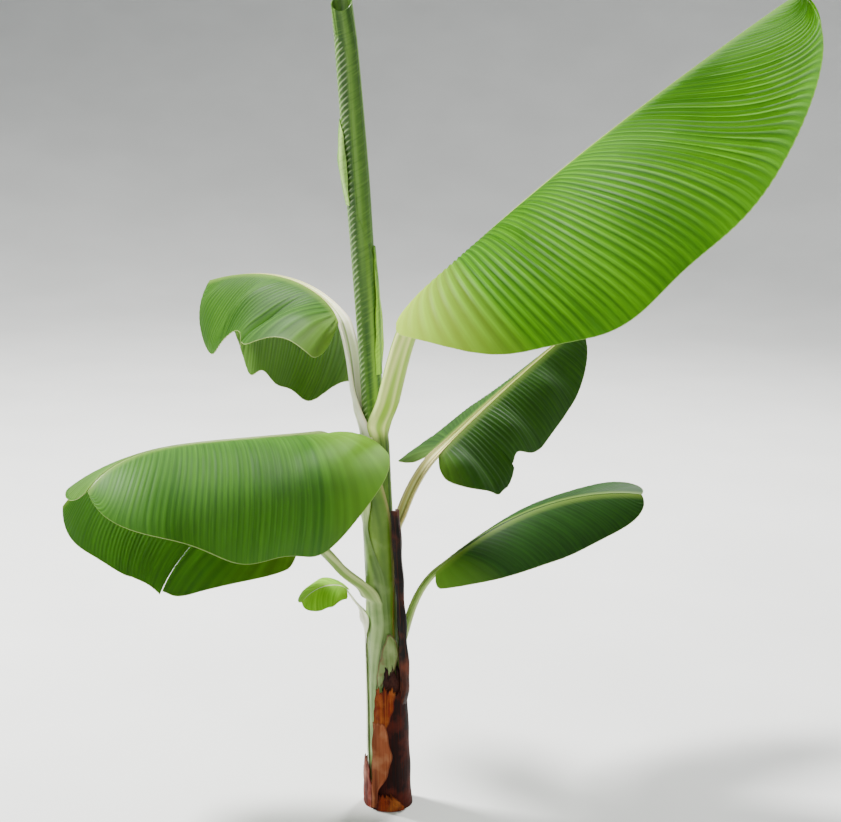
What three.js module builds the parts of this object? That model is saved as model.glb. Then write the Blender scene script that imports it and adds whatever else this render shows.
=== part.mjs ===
// A young banana plant: a leaning false stem of wrapped leaf sheaths, a rolled spear leaf,
// seven leaves that arch out of the stem, and dry sheaths round the foot.
// Millimetres, +Z up. The origin is the centre of the flat cut at ground level.
// The plant is mostly seen from -Y, with +X to the right.
import * as THREE from 'three';
import { mergeVertices } from 'three/addons/utils/BufferGeometryUtils.js';

// Clear space between touching parts, and a little more where a bent stalk passes its stem.
const GAP = 0.4;
const SHEATH_GAP = 0.6;
const CLEARANCE = 1.4;
const WIDENING = 0.1;

// Heights of the crown and of the spear leaf's top, which slants down to the front. The stem leans to
// the left by LEAN, and by CURVE more with the square of the height.
const CROWN = 556;
const SPEAR_TOP = 1165;
const SPEAR_SLANT = 24;
const SPEAR_SLANT_HEAD = 260;
const LEAN = 0.045;
const CURVE = 0.00003;
const STEM_RADII = [[0, 31], [25, 27], [70, 24.5], [150, 22.6], [300, 20.8], [CROWN, 20.4]];
const OVER_SHEATH_RADII = STEM_RADII.map(([height, radius]) => [height, radius + 3.5]);
const SPEAR_RADII = [[CROWN, 14.6], [620, 14.9], [720, 15.6], [820, 16.6], [920, 17.6], [1000, 17],
  [1090, 16.3], [SPEAR_TOP, 14.6]];

// Stalk and rib: the rib's size at the tip as a share of its size at the base, the size of the
// gutter in a stalk, how far its walls wrap round to each side, how far along a stalk has left
// the stem, and how long a sheath is when it is a solid of its own.
const RIB_TIP_SHARE = 0.3;
const GUTTER = 0.5;
const OPEN_WRAP = 100;
const DEPARTURE = 70;
const LONG_SHEATH = 150;

// Blade: how fast the veins' length rises from the base lobe, falls to the tip and rounds it off,
// over what share of the rib the veins fan out backward, and how far the lobes clear the stalk.
const RISE_POWER = 2.2;
const FALL_POWER = 2.6;
const TIP_POWER = 0.625;
const FAN = 0.06;
const LOBE_CLEARANCE = 0.25;
const SHORTEST_VEIN = 3;
const TEAR_FADES = 0.2;

// How finely the parts are made.
const STEM_SIDES = 20;
const SPEAR_SIDES = 18;
const COLUMN_PARTS = 9;
const ARC_STEPS = 5;
const SHELL_PARTS = 6;
const STALK_RINGS = 12;
const RIB_RINGS = 10;
const SHEATH_TURN = 11;
const CLOSEST_RINGS = 6;
const BLADE_COLUMNS = 18;
const BLADE_ROWS = 5;
const SMALL_BLADE = 100;
const SMALL_BLADE_COLUMNS = 10;
const SMALL_BLADE_ROWS = 3;

// Angles are in degrees. lift is the rise of the rib above level and head its turn from +X
// towards +Y, each at the stem, where the blade starts, and at the tip. left and right are the
// halves of the blade as seen walking from stem to tip: how wide, and how far a vein slopes
// below level at the rib and hangs at the margin, at the base and at the tip of the blade. lobe
// and wide are the vein's length at the base and where along the rib it is longest. girth
// is the stalk's radius at the stem and where the blade starts, and rib the rib's beyond there.
// A wave is [height, count, phase]. A tear runs from a share of the width out to the margin.
const LEAVES = [
  {
    name: 'upper_right', colour: '#76b91c', hugs: SPEAR_RADII, foot: CROWN + 1, rise: 560, out: 18,
    wall: 5, wrap: [42, 44], stalk: 241, blade: 647, lift: [71, 41, 36], bow: [3.9, 0.66],
    head: [-62, -50, -28.5], girth: [17, 15], rib: 9, thick: 7.2, lobe: 0.19, wide: 0.47, sweep: [62, 8, 40],
    left: { width: 170, slope: [68, 42], hang: [112, 118], waves: [[6, 3.1, 0.2]] },
    right: { width: 254, slope: [12, 47], hang: [135, 69], waves: [[5, 3.4, 0.1]] },
  },
  {
    name: 'upper_left', colour: '#5f9436', hugs: SPEAR_RADII, foot: CROWN + 1, rise: 560, out: 18,
    wall: 5, wrap: [82, 76], stalk: 164, blade: 368, lift: [83, 51, -17], bow: [3.07, 0.37],
    head: [163, 125, 133], girth: [13, 10.5], rib: 6.5, thick: 4.6, lobe: 0.59, wide: 0.43,
    sweep: [57, 6, 40],
    left: {
      width: 162, slope: [12, 46], hang: [56, 108], waves: [[6, 2.6, 0.55]],
      tears: [{ at: 0.13, from: 0.3, gap: 14, drop: 16 }],
    },
    right: { width: 199, slope: [44, 44], hang: [124, 122], waves: [[6, 2.2, 0.1]] },
  },
  {
    name: 'middle_right', colour: '#3f6f24', hugs: STEM_RADII, foot: 326, rise: 378, out: 16,
    wall: 2.6, wrap: [64, 58], stalk: 173, blade: 380, lift: [77, 20, 26], bow: [1.64, 1],
    head: [36, 57, 44], girth: [10, 8], rib: 5.6, thick: 4, lobe: 0.27, wide: 0.2, sweep: [70, 6, 40],
    left: {
      width: 118, slope: [10, 38], hang: [40, 66], lobe: 0.13, waves: [[3, 2.4, 0.3]],
      tears: [{ at: 0.1, from: 0.4, gap: 9, drop: 14 }],
    },
    right: {
      width: 113, slope: [29, 44], hang: [80, 89], waves: [[3, 2.2, 0.1]],
      tears: [{ at: 0.36, from: 0.4, gap: 9, drop: -14 }],
    },
  },
  {
    name: 'middle_left', colour: '#4f8030', hugs: STEM_RADII, foot: 362, rise: 430, out: 16,
    wall: 2.6, wrap: [84, 40], stalk: 178, blade: 408, lift: [78, 6, -47], bow: [2.9, 6.3],
    head: [198, 227, 231], girth: [11.5, 8.5], rib: 6.2, thick: 4.8, lobe: 0.4, wide: 0.33, sweep: [66, 6, 40],
    left: { width: 214, slope: [-16, 3], hang: [103, 77], waves: [[5, 2.7, 0.1]] },
    right: { width: 150, slope: [14, 22], hang: [44, 44], waves: [[5, 2.3, 0.4]] },
  },
  {
    name: 'lower_left', colour: '#3a6420', hugs: STEM_RADII, foot: 0, rise: 317, out: 20,
    wall: 2.6, wrap: [62, 54], stalk: 164, blade: 389, lift: [56, 39, -55], bow: [1.15, 1.38],
    head: [210, 181, 163], girth: [13, 11], rib: 5.4, thick: 4, lobe: 0.29, wide: 0.27, sweep: [58, 6, 40],
    left: {
      width: 179, slope: [32, 38], hang: [86, 79], waves: [[4, 2.4, 0.2]],
      tears: [{ at: 0.22, from: 0.45, gap: 6, drop: 4 }],
    },
    right: { width: 122, slope: [24, -9], hang: [60, 18], waves: [[4, 2.1, 0.5]] },
  },
  {
    name: 'lower_right', colour: '#335a20', hugs: STEM_RADII, foot: 140, rise: 201, out: 14,
    wall: 2.6, wrap: [44, 40], stalk: 170, blade: 330, lift: [80, 41, -6], bow: [2.88, 1.27],
    head: [13, 10, 7], girth: [10, 6.6], rib: 4.4, thick: 3.5, lobe: 0.3, wide: 0.41, sweep: [60, 6, 45],
    left: { width: 84, slope: [18, -14], hang: [62, 6], waves: [[2, 2.2, 0.3]] },
    right: { width: 83, slope: [25, 36], hang: [72, 80], waves: [[2, 2.1, 0.6]] },
  },
  {
    name: 'small_left', colour: '#7fb43a', hugs: OVER_SHEATH_RADII, foot: 80, rise: 253, out: 23,
    wall: 2, wrap: [17, 11], stalk: 88, blade: 74, lift: [84, 49, -55], bow: [1.1, 0.62],
    head: [185, 196, 186], girth: [3.2, 2.8], rib: 2.6, thick: 1.8, lobe: 0.4, wide: 0.42, sweep: [55, 6, 45],
    left: { width: 34, slope: [29, 30], hang: [70, 60], waves: [[1, 2, 0.3]] },
    right: { width: 44, slope: [-6, -8], hang: [20, 18], waves: [[1, 2, 0.6]] },
  },
];

// Curved shells that lie round the stem or the spear: bottom, top, the heading of their middle,
// how far they wrap to each side, the clearance under them and the thickness of their wall.
const SHELLS = [
  { name: 'spear_loose_margin', colour: '#8cc04a', hugs: SPEAR_RADII, span: [650, 830], head: -20,
    wrap: [46, 20], clear: [[650, 0.4], [755, 2.2], [830, 0.4]], wall: 1.6 },
  { name: 'spear_outer_flap', colour: '#a7d063', hugs: SPEAR_RADII, span: [884, 1000], head: 182,
    wrap: [34, 18], clear: [[884, 0.4], [945, 6.5], [1000, 0.4]], wall: 1.6 },
  { name: 'dry_base_sheath', colour: '#7b3a22', hugs: STEM_RADII, span: [0, 190], head: -40,
    wrap: [80, 66], clear: [[0, 4.2], [60, 8], [120, 8.5], [190, 8.8]], wall: 2.4 },
  { name: 'dry_left_sheath', colour: '#9a5a3c', hugs: STEM_RADII, span: [0, 74], head: 202,
    wrap: [28, 12], clear: [[0, 4.2], [40, 8], [74, 7]], wall: 2 },
  { name: 'pale_sheath_flap', colour: '#a8bf86', hugs: STEM_RADII, span: [196, 258], head: -60,
    wrap: [20, 8], clear: [[196, 0.4], [228, 2.2], [258, 0.4]], wall: 1.5 },
];
const DEAD_STALK = { span: [190.4, 455], head: -30, out: [34.6, 28], radius: [8, 6.2] };

const radians = THREE.MathUtils.degToRad;
const mix = THREE.MathUtils.lerp;
const clamp = (t) => Math.min(Math.max(t, 0), 1);
const ease = (t) => THREE.MathUtils.smoothstep(t, 0, 1);
const vec = (x, y, z) => new THREE.Vector3(x, y, z);
// Even shares from 0 to 1, one more of them than the count.
const range = (count) => Array.from({ length: count + 1 }, (_, i) => i / count);

// A value read off a short list of [place, value] pairs, straight between them.
function along(list, place) {
  const next = list.findIndex(([at]) => at >= place);
  if (next < 0) return list[list.length - 1][1];
  if (next === 0) return list[0][1];
  const [a, b] = [list[next - 1], list[next]];
  return mix(a[1], b[1], (place - a[0]) / (b[0] - a[0]));
}

// The middle line of stem and spear: it leans to the left, a little more with height.
function stemAxis(height) {
  return vec(-LEAN * height - CURVE * height * height, 0, height);
}

// Heights from one level to another: even parts, and each height where the radii of a list bend.
function levels(radii, from, to, parts) {
  const bends = radii.map(([height]) => height).filter((height) => height > from && height < to);
  const even = range(parts).map((t) => mix(from, to, t));
  const near = (height) => even.some((level) => Math.abs(level - height) < CLOSEST_RINGS);
  return [...even, ...bends.filter((height) => !near(height))].sort((a, b) => a - b);
}

function compass(degrees) {
  return vec(Math.cos(radians(degrees)), Math.sin(radians(degrees)), 0);
}

// Direction of travel, sideways to the left, and up, for a lift and a heading.
function bearing(lift, head) {
  const level = compass(head);
  const forward = level.clone().multiplyScalar(Math.cos(radians(lift)));
  forward.z = Math.sin(radians(lift));
  const side = vec(-level.y, level.x, 0);
  return { forward, side, up: forward.clone().cross(side) };
}

// A closed solid from its points and faces. Every face is turned to point out together.
function solidFrom(points, faces) {
  const soup = new THREE.BufferGeometry();
  soup.setAttribute('position', new THREE.Float32BufferAttribute(
    points.flatMap((p) => [p.x, p.y, p.z]), 3));
  let volume = 0;
  for (const [a, b, c] of faces) {
    volume += points[a].dot(points[b].clone().cross(points[c]));
  }
  const outward = volume > 0 ? faces : faces.map(([a, b, c]) => [a, c, b]);
  soup.setIndex(outward.flat());
  return mergeVertices(soup, 1e-4);
}

// A skin over rings of points, with both ends closed. pairs lists the ring's places that face
// each other across it, so that a crescent closes as well as a disc does.
function loft(rings, pairs) {
  const size = rings[0].length;
  const faces = [];
  for (let i = 0; i + 1 < rings.length; i += 1) {
    for (let k = 0; k < size; k += 1) {
      const [a, b] = [i * size + k, i * size + ((k + 1) % size)];
      faces.push([a, b, b + size], [a, b + size, a + size]);
    }
  }
  const end = (rings.length - 1) * size;
  for (let k = 0; k + 1 < pairs.length; k += 1) {
    const [[a, b], [c, d]] = [pairs[k], pairs[k + 1]];
    for (const [p, q, r] of [[a, b, d], [a, d, c]]) {
      if (p === q || q === r || p === r) continue;
      faces.push([p, q, r], [end + r, end + q, end + p]);
    }
  }
  return solidFrom(rings.flat(), faces);
}

// The places of a round ring that face each other.
function roundPairs(size) {
  return range(size / 2).map((_, k) => [k, (size - k) % size]);
}

// A crescent: an outer arc and an inner arc about one centre, open away from its back.
function crescent({ centre, back, side, inner, outer, wrap }) {
  const arc = (radius, turn) => centre.clone()
    .addScaledVector(back, radius * Math.cos(turn))
    .addScaledVector(side, radius * Math.sin(turn));
  const turns = range(ARC_STEPS).map((t) => radians(mix(-wrap, wrap, t)));
  return [...turns.map((turn) => arc(outer, turn)),
    ...turns.reverse().map((turn) => arc(inner, turn))];
}

function crescentPairs() {
  return range(ARC_STEPS).map((_, k) => [k, 2 * ARC_STEPS + 1 - k]);
}

// The radius at which a crescent's corners must lie for its straight sides to keep a radius.
function cornerRadius(radius, wrap) {
  return radius / Math.cos(radians(wrap / ARC_STEPS));
}

// A leaning round column with a radius read off a list. Its top may slant down to one heading.
function roundColumn({ radii, from, to, sides, slant = 0, head = 0 }) {
  const rings = levels(radii, from, to, COLUMN_PARTS).map((height) => {
    const centre = stemAxis(height);
    const radius = along(radii, height);
    return range(sides - 1).map((_, k) => {
      const turn = (2 * Math.PI * k) / sides;
      const drop = height === to ? (slant * (1 + Math.cos(turn - radians(head)))) / 2 : 0;
      return vec(centre.x + radius * Math.cos(turn), radius * Math.sin(turn), height - drop);
    });
  });
  return loft(rings, roundPairs(sides));
}

// A shell round the stem or spear.
function shell({ hugs, span, head, wrap, clear, wall }) {
  const rings = levels(hugs, span[0], span[1], SHELL_PARTS).map((height) => {
    const t = (height - span[0]) / (span[1] - span[0]);
    const turn = mix(wrap[0], wrap[1], t ** 2);
    const inner = cornerRadius(along(hugs, height) + along(clear, height), turn);
    return crescent({
      centre: stemAxis(height), back: compass(head), side: compass(head + 90),
      inner, outer: inner + wall, wrap: turn,
    });
  });
  return loft(rings, crescentPairs());
}

// The dried stalk of a lost leaf, standing beside the stem on the dry base sheath.
function deadStalk({ span, head, out, radius }) {
  const rings = range(STALK_RINGS).map((t) => {
    const height = mix(span[0], span[1], t);
    const outer = mix(radius[0], radius[1], t);
    return crescent({
      centre: stemAxis(height).addScaledVector(compass(head), mix(out[0], out[1], t)),
      back: compass(head), side: compass(head + 90),
      inner: outer * GUTTER, outer, wrap: OPEN_WRAP,
    });
  });
  return loft(rings, crescentPairs());
}

// The rib of a leaf from the stem to the tip, walked in short steps.
function walkRib(leaf) {
  const stalkSteps = 24;
  const bladeSteps = 72;
  const stations = [];
  let place = stemAxis(leaf.rise).addScaledVector(compass(leaf.head[0]), leaf.out);
  for (let i = 0; i <= stalkSteps + bladeSteps; i += 1) {
    const onStalk = Math.min(i / stalkSteps, 1);
    const onBlade = Math.max((i - stalkSteps) / bladeSteps, 0);
    const part = onBlade > 0 ? 1 : 0;
    const share = onBlade > 0 ? onBlade : onStalk;
    const lift = mix(leaf.lift[part], leaf.lift[part + 1], share ** leaf.bow[part]);
    const head = mix(leaf.head[part], leaf.head[part + 1], share);
    const frame = bearing(lift, head);
    if (i > 0) {
      const step = i <= stalkSteps ? leaf.stalk / stalkSteps : leaf.blade / bladeSteps;
      const way = stations[i - 1].forward.clone().add(frame.forward).normalize();
      place = place.clone().addScaledVector(way, step);
    }
    stations.push({ place, ...frame });
  }
  return { stations, stalkSteps, bladeSteps };
}

// The rib's place and directions, t from -1 at the stem through 0 at the blade's base to 1.
function ribAt(rib, t) {
  const spot = rib.stalkSteps + t * (t < 0 ? rib.stalkSteps : rib.bladeSteps);
  const low = Math.min(Math.floor(spot), rib.stations.length - 2);
  const [a, b] = [rib.stations[low], rib.stations[low + 1]];
  const blend = (key) => a[key].clone().lerp(b[key], spot - low);
  return {
    place: blend('place'), forward: blend('forward').normalize(),
    side: blend('side').normalize(), up: blend('up').normalize(),
  };
}

function ribRadius(leaf, u) {
  return leaf.rib * mix(1, RIB_TIP_SHARE, u) + (leaf.girth[1] - leaf.rib) * Math.exp(-u / FAN);
}

// How far a point stands off the stem or spear that is wrapped, less than nothing inside it.
function standOff(hugs, point) {
  const axis = stemAxis(point.z);
  return Math.hypot(point.x - axis.x, point.y - axis.y) - along(hugs, point.z);
}

// A crescent whose inner arc is widened until it clears the stem or spear that is wrapped.
function clearCrescent(hugs, { wall, ...shape }) {
  let { inner } = shape;
  const onInnerArc = (points) => points.slice(points.length / 2);
  while (onInnerArc(crescent({ ...shape, inner, outer: inner + wall }))
    .some((point) => standOff(hugs, point) < CLEARANCE)) inner += WIDENING;
  return crescent({ ...shape, inner, outer: inner + wall });
}

// The rings of the sheath, which hugs the stem.
function sheathRings(leaf) {
  const turns = Math.ceil((Math.abs(leaf.wrap[0] - leaf.wrap[1]) + 1) / SHEATH_TURN);
  return levels(leaf.hugs, leaf.foot, leaf.rise, turns).map((height) => {
    const share = (height - leaf.foot) / (leaf.rise - leaf.foot);
    const wrap = mix(leaf.wrap[0], leaf.wrap[1], share);
    const inner = cornerRadius(along(leaf.hugs, height) + SHEATH_GAP, wrap);
    return crescent({
      centre: stemAxis(height), back: compass(leaf.head[0]), side: compass(leaf.head[0] + 90),
      inner, outer: inner + leaf.wall, wrap,
    });
  });
}

// The rings of the stalk. The sheath's crescent tilts and shrinks to the stalk's gutter as it
// leaves the stem.
function stalkRings(leaf, rib) {
  const back = compass(leaf.head[0]);
  return range(STALK_RINGS).map((t) => {
    const { place, forward, side } = ribAt(rib, t - 1);
    const away = ease((t * leaf.stalk) / DEPARTURE);
    const centre = place.clone().addScaledVector(back, -leaf.out * (1 - away));
    centre.z += t === 0 ? GAP : 0;
    const axis = stemAxis(centre.z);
    const offset = Math.hypot(centre.x - axis.x, centre.y - axis.y);
    const left = clamp(offset / along(leaf.hugs, centre.z));
    const facing = vec(0, 0, 1).lerp(forward, left).normalize();
    const outer = mix(leaf.girth[0], leaf.girth[1], t);
    return clearCrescent(leaf.hugs, {
      centre, back: side.clone().cross(facing), side, inner: outer * GUTTER,
      wall: mix(leaf.wall, outer * (1 - GUTTER), left), wrap: mix(leaf.wrap[1], OPEN_WRAP, left),
    });
  });
}

// The rings of the rib, closer together at the base, with its gutter open to the upper side.
function ribRings(leaf, rib) {
  return range(RIB_RINGS).map((t) => {
    const u = mix(GAP / leaf.blade, 1, t ** 1.5);
    const { place, side, up } = ribAt(rib, u);
    const outer = ribRadius(leaf, u);
    return crescent({
      centre: place, back: up.clone().negate(), side, inner: outer * GUTTER, outer,
      wrap: OPEN_WRAP,
    });
  });
}

// Length of the vein that leaves the rib at u, as a share of the half's width.
function veinLength({ wide, lobe }, u) {
  const rising = 1 - (1 - clamp(u / wide)) ** RISE_POWER;
  const falling = 1 - clamp((u - wide) / (1 - wide)) ** FALL_POWER;
  return (lobe + (1 - lobe) * rising) * falling ** TIP_POWER;
}

// Sweep of that vein: backward round the lobes at the base, forward at the tip.
function veinSweep(leaf, u) {
  const [back, middle, fore] = leaf.sweep;
  return middle - (middle + back) * Math.exp(-u / FAN) + (fore - middle) * u ** 4;
}

// A point of a half blade: u runs along the rib, and v out along the vein to the margin.
// hand is 1 for the left half and -1 for the right one.
function bladePoint(leaf, rib, half, hand, { u, tear, after, follow }, v) {
  const { place, forward, side, up } = ribAt(rib, u);
  const length = Math.max(veinLength({ ...leaf, ...half }, u) * half.width, SHORTEST_VEIN);
  const share = length / half.width;
  const sweep = radians(veinSweep(leaf, u));
  const slope = radians(mix(half.slope[0], half.slope[1], u));
  const bend = (radians(mix(half.hang[0], half.hang[1], u)) - slope) * share;
  const reach = (length * (Math.sin(slope + bend * v) - Math.sin(slope))) / bend;
  let rise = (length * (Math.cos(slope + bend * v) - Math.cos(slope))) / bend;
  for (const [height, count, phase] of half.waves) {
    rise += height * Math.sin(2 * Math.PI * (count * u + phase)) * (share * v) ** 1.5;
  }
  const clear = ribRadius(leaf, u) + LOBE_CLEARANCE * leaf.rib * Math.exp(-u / FAN) + GAP
    + (Math.abs(Math.sin(slope)) * leaf.thick) / 2;
  const point = place.clone().addScaledVector(side, hand * (clear + reach * Math.cos(sweep)))
    .addScaledVector(forward, reach * Math.sin(sweep));
  if (tear) {
    const open = clamp((v - tear.from) / (1 - tear.from));
    rise -= follow * length * Math.sin(radians(tear.drop)) * open ** 1.5;
    point.addScaledVector(forward, (after - 0.5) * follow * tear.gap * open);
  }
  return point.addScaledVector(up, rise);
}

// Columns of points across the blade, closer together round the lobes. A tear gives two columns
// at one place, which part beyond the row where it starts. The blade after it hangs lower for a
// stretch, less and less.
function bladeColumns(half, count) {
  const columns = range(count).map((t) => ({ u: t ** 1.25 }));
  for (const tear of half.tears ?? []) {
    const start = columns.findIndex(({ u }) => u > tear.at - 0.5 / count);
    columns.splice(start, 1, { u: tear.at, tear, after: 0, follow: 0.5 },
      { u: tear.at, tear, after: 1, follow: 1, torn: true });
    for (const next of columns.slice(start + 2)) {
      const follow = 1 - (next.u - tear.at) / TEAR_FADES;
      if (follow > 0) Object.assign(next, { tear, after: 0.5, follow });
    }
  }
  return columns;
}

// A thin curved sheet made solid: a face above, a face below, and a wall round its rim.
function sheetSolid(grid, thick, joined, torn) {
  const last = grid[0].length - 1;
  const normalAt = (i, j) => {
    const ahead = grid[torn(i + 1) || i + 1 === grid.length ? i : i + 1][j];
    const behind = grid[torn(i) || i === 0 ? i : i - 1][j];
    const across = grid[i][Math.min(j + 1, last)].clone().sub(grid[i][Math.max(j - 1, 0)]);
    return ahead.clone().sub(behind).cross(across).normalize();
  };
  const ids = [];
  const points = [];
  grid.forEach((column, i) => {
    ids.push(column.map((point, j) => {
      if (torn(i) && joined(i, j)) return ids[i - 1][j];
      points.push({ point, normal: normalAt(i, j) });
      return points.length - 1;
    }));
  });
  const total = points.length;
  const faces = [];
  const rim = new Map();
  const addFace = (...corners) => {
    faces.push(corners, corners.map((corner) => corner + total).reverse());
    corners.forEach((p, k) => {
      const q = corners[(k + 1) % 3];
      if (!rim.delete(`${q} ${p}`)) rim.set(`${p} ${q}`, [p, q]);
    });
  };
  for (let i = 0; i + 1 < grid.length; i += 1) {
    for (let j = 0; j < last && !torn(i + 1); j += 1) {
      addFace(ids[i][j], ids[i + 1][j], ids[i + 1][j + 1]);
      addFace(ids[i][j], ids[i + 1][j + 1], ids[i][j + 1]);
    }
  }
  for (const [p, q] of rim.values()) faces.push([q, p, p + total], [q, p + total, q + total]);
  const offset = (share) => points.map(({ point, normal }) => (
    point.clone().addScaledVector(normal, share * thick)));
  return solidFrom([...offset(0.5), ...offset(-0.5)], faces);
}

function bladeSolid(leaf, rib, half, hand) {
  const small = leaf.blade < SMALL_BLADE;
  const rows = range(small ? SMALL_BLADE_ROWS : BLADE_ROWS);
  const columns = bladeColumns(half, small ? SMALL_BLADE_COLUMNS : BLADE_COLUMNS);
  const grid = columns.map((place) => rows.map((v) => (
    bladePoint(leaf, rib, half, hand, place, v))));
  const torn = (i) => Boolean(columns[i]?.torn);
  const joined = (i, j) => rows[j] <= columns[i].tear.from + 1e-6;
  return sheetSolid(grid, leaf.thick, joined, torn);
}

function addMesh(group, name, geometry, colour, roughness = 0.55) {
  const material = new THREE.MeshStandardMaterial({ color: colour, roughness, metalness: 0 });
  const mesh = new THREE.Mesh(geometry, material);
  mesh.name = name;
  group.add(mesh);
}

const plant = new THREE.Group();
addMesh(plant, 'stem', roundColumn({
  radii: STEM_RADII, from: 0, to: CROWN, sides: STEM_SIDES,
}), '#9dbb6f');
addMesh(plant, 'spear', roundColumn({
  radii: SPEAR_RADII, from: CROWN + GAP, to: SPEAR_TOP, sides: SPEAR_SIDES, slant: SPEAR_SLANT,
  head: SPEAR_SLANT_HEAD,
}), '#7fae3e');
for (const piece of SHELLS) addMesh(plant, piece.name, shell(piece), piece.colour, 0.8);
addMesh(plant, 'dead_stalk', deadStalk(DEAD_STALK), '#2c1a14', 0.85);
for (const leaf of LEAVES) {
  const rib = walkRib(leaf);
  const [sheath, stalk] = [sheathRings(leaf), stalkRings(leaf, rib)];
  if (leaf.rise - leaf.foot > LONG_SHEATH) {
    addMesh(plant, `${leaf.name}_sheath`, loft(sheath, crescentPairs()), '#a3bd72');
    addMesh(plant, `${leaf.name}_stalk`, loft(stalk, crescentPairs()), '#a9c46a');
  } else {
    addMesh(plant, `${leaf.name}_stalk`, loft([...sheath, ...stalk.slice(1)], crescentPairs()),
      '#a9c46a');
  }
  addMesh(plant, `${leaf.name}_rib`, loft(ribRings(leaf, rib), crescentPairs()), '#c3d58a');
  addMesh(plant, `${leaf.name}_left_half`, bladeSolid(leaf, rib, leaf.left, 1), leaf.colour);
  addMesh(plant, `${leaf.name}_right_half`, bladeSolid(leaf, rib, leaf.right, -1), leaf.colour);
}

export default plant;
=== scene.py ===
"""Young banana plant: a leaning false stem, a rolled spear leaf, seven pleated leaves on gutter
shaped stalks, and dry sheaths at the foot. Metres, +Z up, origin at ground level."""

import math

import bpy
import numpy as np
from mathutils import Matrix, Vector


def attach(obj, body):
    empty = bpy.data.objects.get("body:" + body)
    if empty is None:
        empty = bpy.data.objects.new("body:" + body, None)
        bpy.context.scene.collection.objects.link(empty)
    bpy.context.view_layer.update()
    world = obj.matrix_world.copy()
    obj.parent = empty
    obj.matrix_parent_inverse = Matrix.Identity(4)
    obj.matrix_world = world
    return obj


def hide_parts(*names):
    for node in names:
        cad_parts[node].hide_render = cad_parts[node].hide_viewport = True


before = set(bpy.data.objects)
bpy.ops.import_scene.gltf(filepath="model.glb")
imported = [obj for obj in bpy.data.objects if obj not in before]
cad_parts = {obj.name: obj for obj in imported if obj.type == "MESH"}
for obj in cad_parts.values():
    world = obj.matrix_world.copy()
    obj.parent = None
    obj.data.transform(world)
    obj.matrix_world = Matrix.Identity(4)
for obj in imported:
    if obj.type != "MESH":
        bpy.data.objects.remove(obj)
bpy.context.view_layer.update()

bl_info = {
    "name": "Banana Plant",
    "version": (1, 0, 0),
    "blender": (4, 5, 0),
    "location": "View3D > Sidebar > Plant",
    "description": "Builds a young banana plant over its solid model",
    "category": "Object",
}

# The plant's plan, in millimetres and degrees, by the same rules as the solids. Headings turn
# from +X, to the right of the photograph, through +Y, away from the camera.
MM = 1000                   # in a metre
CROWN = 556                 # where the false stem ends
SPEAR_TOP = 1165
SPEAR_SLANT = 24            # how much lower the roll's open top is on one side
SPEAR_SLANT_HEAD = 260
LEAN = 0.045                # of the stem to the left, with a slight curve
CURVE = 0.00003
STEM_RADII = ((0, 31), (25, 27), (70, 24.5), (150, 22.6), (300, 20.8), (CROWN, 20.4))
OVER_SHEATH_RADII = tuple((height, radius + 3.5) for height, radius in STEM_RADII)
SPEAR_RADII = ((CROWN, 14.6), (620, 14.9), (720, 15.6), (820, 16.6), (920, 17.6), (1000, 17),
               (1090, 16.3), (SPEAR_TOP, 14.6))
RIB_TIP_SHARE = 0.3         # the rib's radius at its tip
GUTTER = 0.5                # a stalk's inner radius, as a share of its outer one
OPEN_WRAP = 100             # how far a free stalk wraps to each side of its back
DEPARTURE = 70              # length in which a stalk leaves the stem
RISE_POWER = 2.2            # how a half blade widens from its base and narrows to its tip
FALL_POWER = 2.6
TIP_POWER = 0.625
FAN = 0.06                  # share of the rib in which the veins fan out and the stalk thins
FORWARD_RUN = 0.14          # share of the rib in which the veins begin to run forward
RIB_SEAT = 0.93             # share of the rib's radius at which a half blade starts
TEAR_FADES = 0.2            # share of the rib past a tear in which its drop fades
BASE_ROUNDING = 0.02

# The meshes: places worked out along a stalk and a rib, steps in millimetres along a limb or a
# shell, and points or faces across it. A round mesh has its faces around and its step.
STALK_PLACES, RIB_PLACES = 96, 289
SHEATH_STEP = 4
STALK_STEP = 3
RIB_STEP = 3.5
LIMB_POINTS = 19
STEM_MESH = (160, 2.2)
SPEAR_MESH = (150, 1.5)
ROLL_RINGS = 24
SHELL_COLUMNS = 48
SHELL_STEP = 2.5
ROUND_STEM = 140            # length given to a full turn in the maps of the stem and the spear

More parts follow.
